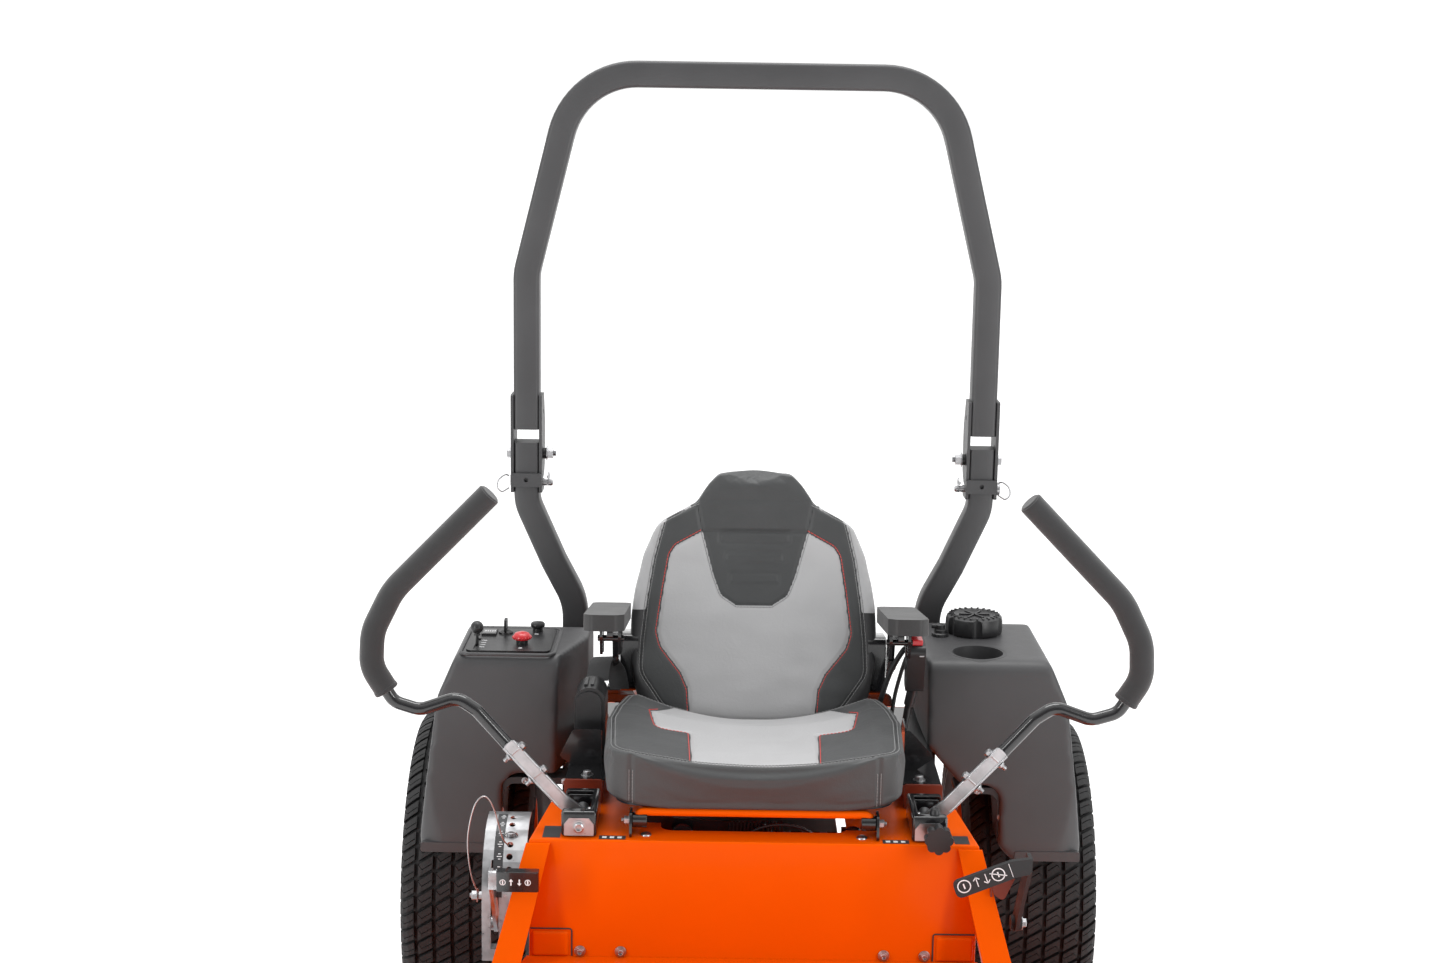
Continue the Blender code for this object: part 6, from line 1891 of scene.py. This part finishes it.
def build_caster_wheel(name):
    """A ribbed front tyre and its cast hub."""
    node = f"{name}_caster_wheel"
    low, high = (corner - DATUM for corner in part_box(node))
    centre = (low + high) / 2
    radius, half = (high.z - low.z) / 2, (high.x - low.x) / 2
    tread = [
        (
            0.0095, 0.082,
        ), (0.026, 0.082), (0.028, 0.034), (0.066, 0.032), (0.072, 0.05), (0.078, 0.066), (0.084, 0.069),
        (0.105, 0.0785), (0.13, half), (0.146, 0.0775), (radius - 0.008, 0.07), (
            radius - 0.0015, 0.056,
        ), (radius, 0.045),
    ]
    ribs = []
    for x in (0.036, 0.014):
        ribs += [
            (radius, x + 0.003), (radius - 0.006, x + 0.0015), (radius - 0.006, x - 0.0015),
            (radius, x - 0.003),
        ]
    outline = tread + ribs + [(r, -h) for r, h in reversed(ribs)] + [(r, -h) for r, h in reversed(tread)]
    bm = bmesh.new()
    add_turned(bm, outline, centre, "X", steps=96, closed=True)
    piece(f"{name}_caster_tyre", bm, "tyre_rubber", body_of(node), [node], sharp=32)
    bm = bmesh.new()
    hub = [
        (0.0096, 0.0825), (0.02, 0.083), (0.027, 0.08), (0.03, 0.036), (0.06, 0.034), (0.0725, 0.052),
        (0.0735, 0.0495), (0.062, 0.0325), (0.0096, 0.0325),
    ]
    for face in (-1, 1):
        add_turned(bm, [(r, face * h) for r, h in hub], centre, "X", steps=64, closed=True)
    piece(f"{name}_caster_hub", bm, "cast_metal", body_of(node), sharp=32)


# ---- under the seat and behind ----
PLAIN_EDGES = {
    "left_frame_rail": 0.002, "right_frame_rail": 0.002, "front_axle_beam": 0.003, "engine_plate": 0.001,
    "engine_block": 0.003, "air_cleaner": 0.002, "muffler": 0.002, "left_transaxle": 0.003,
    "right_transaxle": 0.003, "left_caster_fork": 0.0015, "right_caster_fork": 0.0015, "mower_deck": 0.0012,
    "discharge_chute": 0.0012, "left_blade": 0.0006, "centre_blade": 0.0006, "right_blade": 0.0006,
}


def build_plain():
    """The nodes that are finished by rounding their edges alone."""
    for node, width in PLAIN_EDGES.items():
        refined(node, width)
    piece("rear_guard_skin", clean_copy("rear_guard"), "black_paint", "chassis", ["rear_guard"], bevel=0.0015)


ENGINE_Y = 0.27


def build_engine_details():
    """The engine's screen and cylinder fins, the air cleaner's bands and the deck's pulleys."""
    bm = bmesh.new()
    for turn in turns(12):
        out = Vector((math.cos(turn), math.sin(turn), 0))
        start = Vector((0, ENGINE_Y, 0.7005)) + out * 0.05
        add_rod(bm, start, start + out * 0.085, 0.004, segments=12)
    for radius in (0.06, 0.095, 0.13):
        ring = [(radius, 0.0), (radius + 0.004, 0.0), (radius + 0.004, 0.004), (radius, 0.004)]
        add_turned(bm, ring, (0, ENGINE_Y, 0.699), closed=True)
    for side in (-1, 1):
        for k in range(7):
            one = Vector((side * 0.09, 0.4, 0.53))
            run = Vector((side * 0.11, 0.15, 0)).normalized()
            at = one + run * (0.085 + 0.012 * k)
            add_rod(bm, at, at + run * 0.004, 0.068, segments=32)
    piece("engine_fins", bm, "cast_metal", "chassis", bevel=0.0005)
    bm = bmesh.new()
    band = [(0.0638, -0.003), (0.0665, -0.002), (0.0665, 0.002), (0.0638, 0.003)]
    for x in (-0.1, 0.0, 0.1):
        add_turned(bm, band, (x, ENGINE_Y, 0.765), "X", closed=True)
    piece("air_cleaner_bands", bm, "zinc", "chassis")
    bm = bmesh.new()
    pulley = [
        (0.03, 0.0), (0.062, 0.0), (0.062, 0.004), (0.055, 0.01), (0.062, 0.016), (0.062, 0.02), (0.03, 0.02),
    ]
    for x, y in ((0.44, -0.65), (0.0, -0.77), (-0.44, -0.65)):
        add_turned(bm, pulley, (x, y, 0.272), closed=True)
    piece("deck_pulleys", bm, "zinc", "deck", bevel=0.0006)


# ---- everything ----
build_hoop()
build_posts()
build_lock_pins()
build_console()
build_hand_controls()
build_tank()
build_fuel_cap()
build_backrest()
build_cushion()
build_armrests()
build_seat_hardware()
build_levers()
build_housings()
build_orange_body()
build_seat_rails()
build_box_inside()
build_belt_brackets()
build_height_scale()
build_height_pin()
build_height_spring()
build_lanyard()
build_transport_release()
build_brake()
for name, side in SIDES:
    build_rear_tyre(name, side)
    build_caster_wheel(name)
build_plain()
build_engine_details()
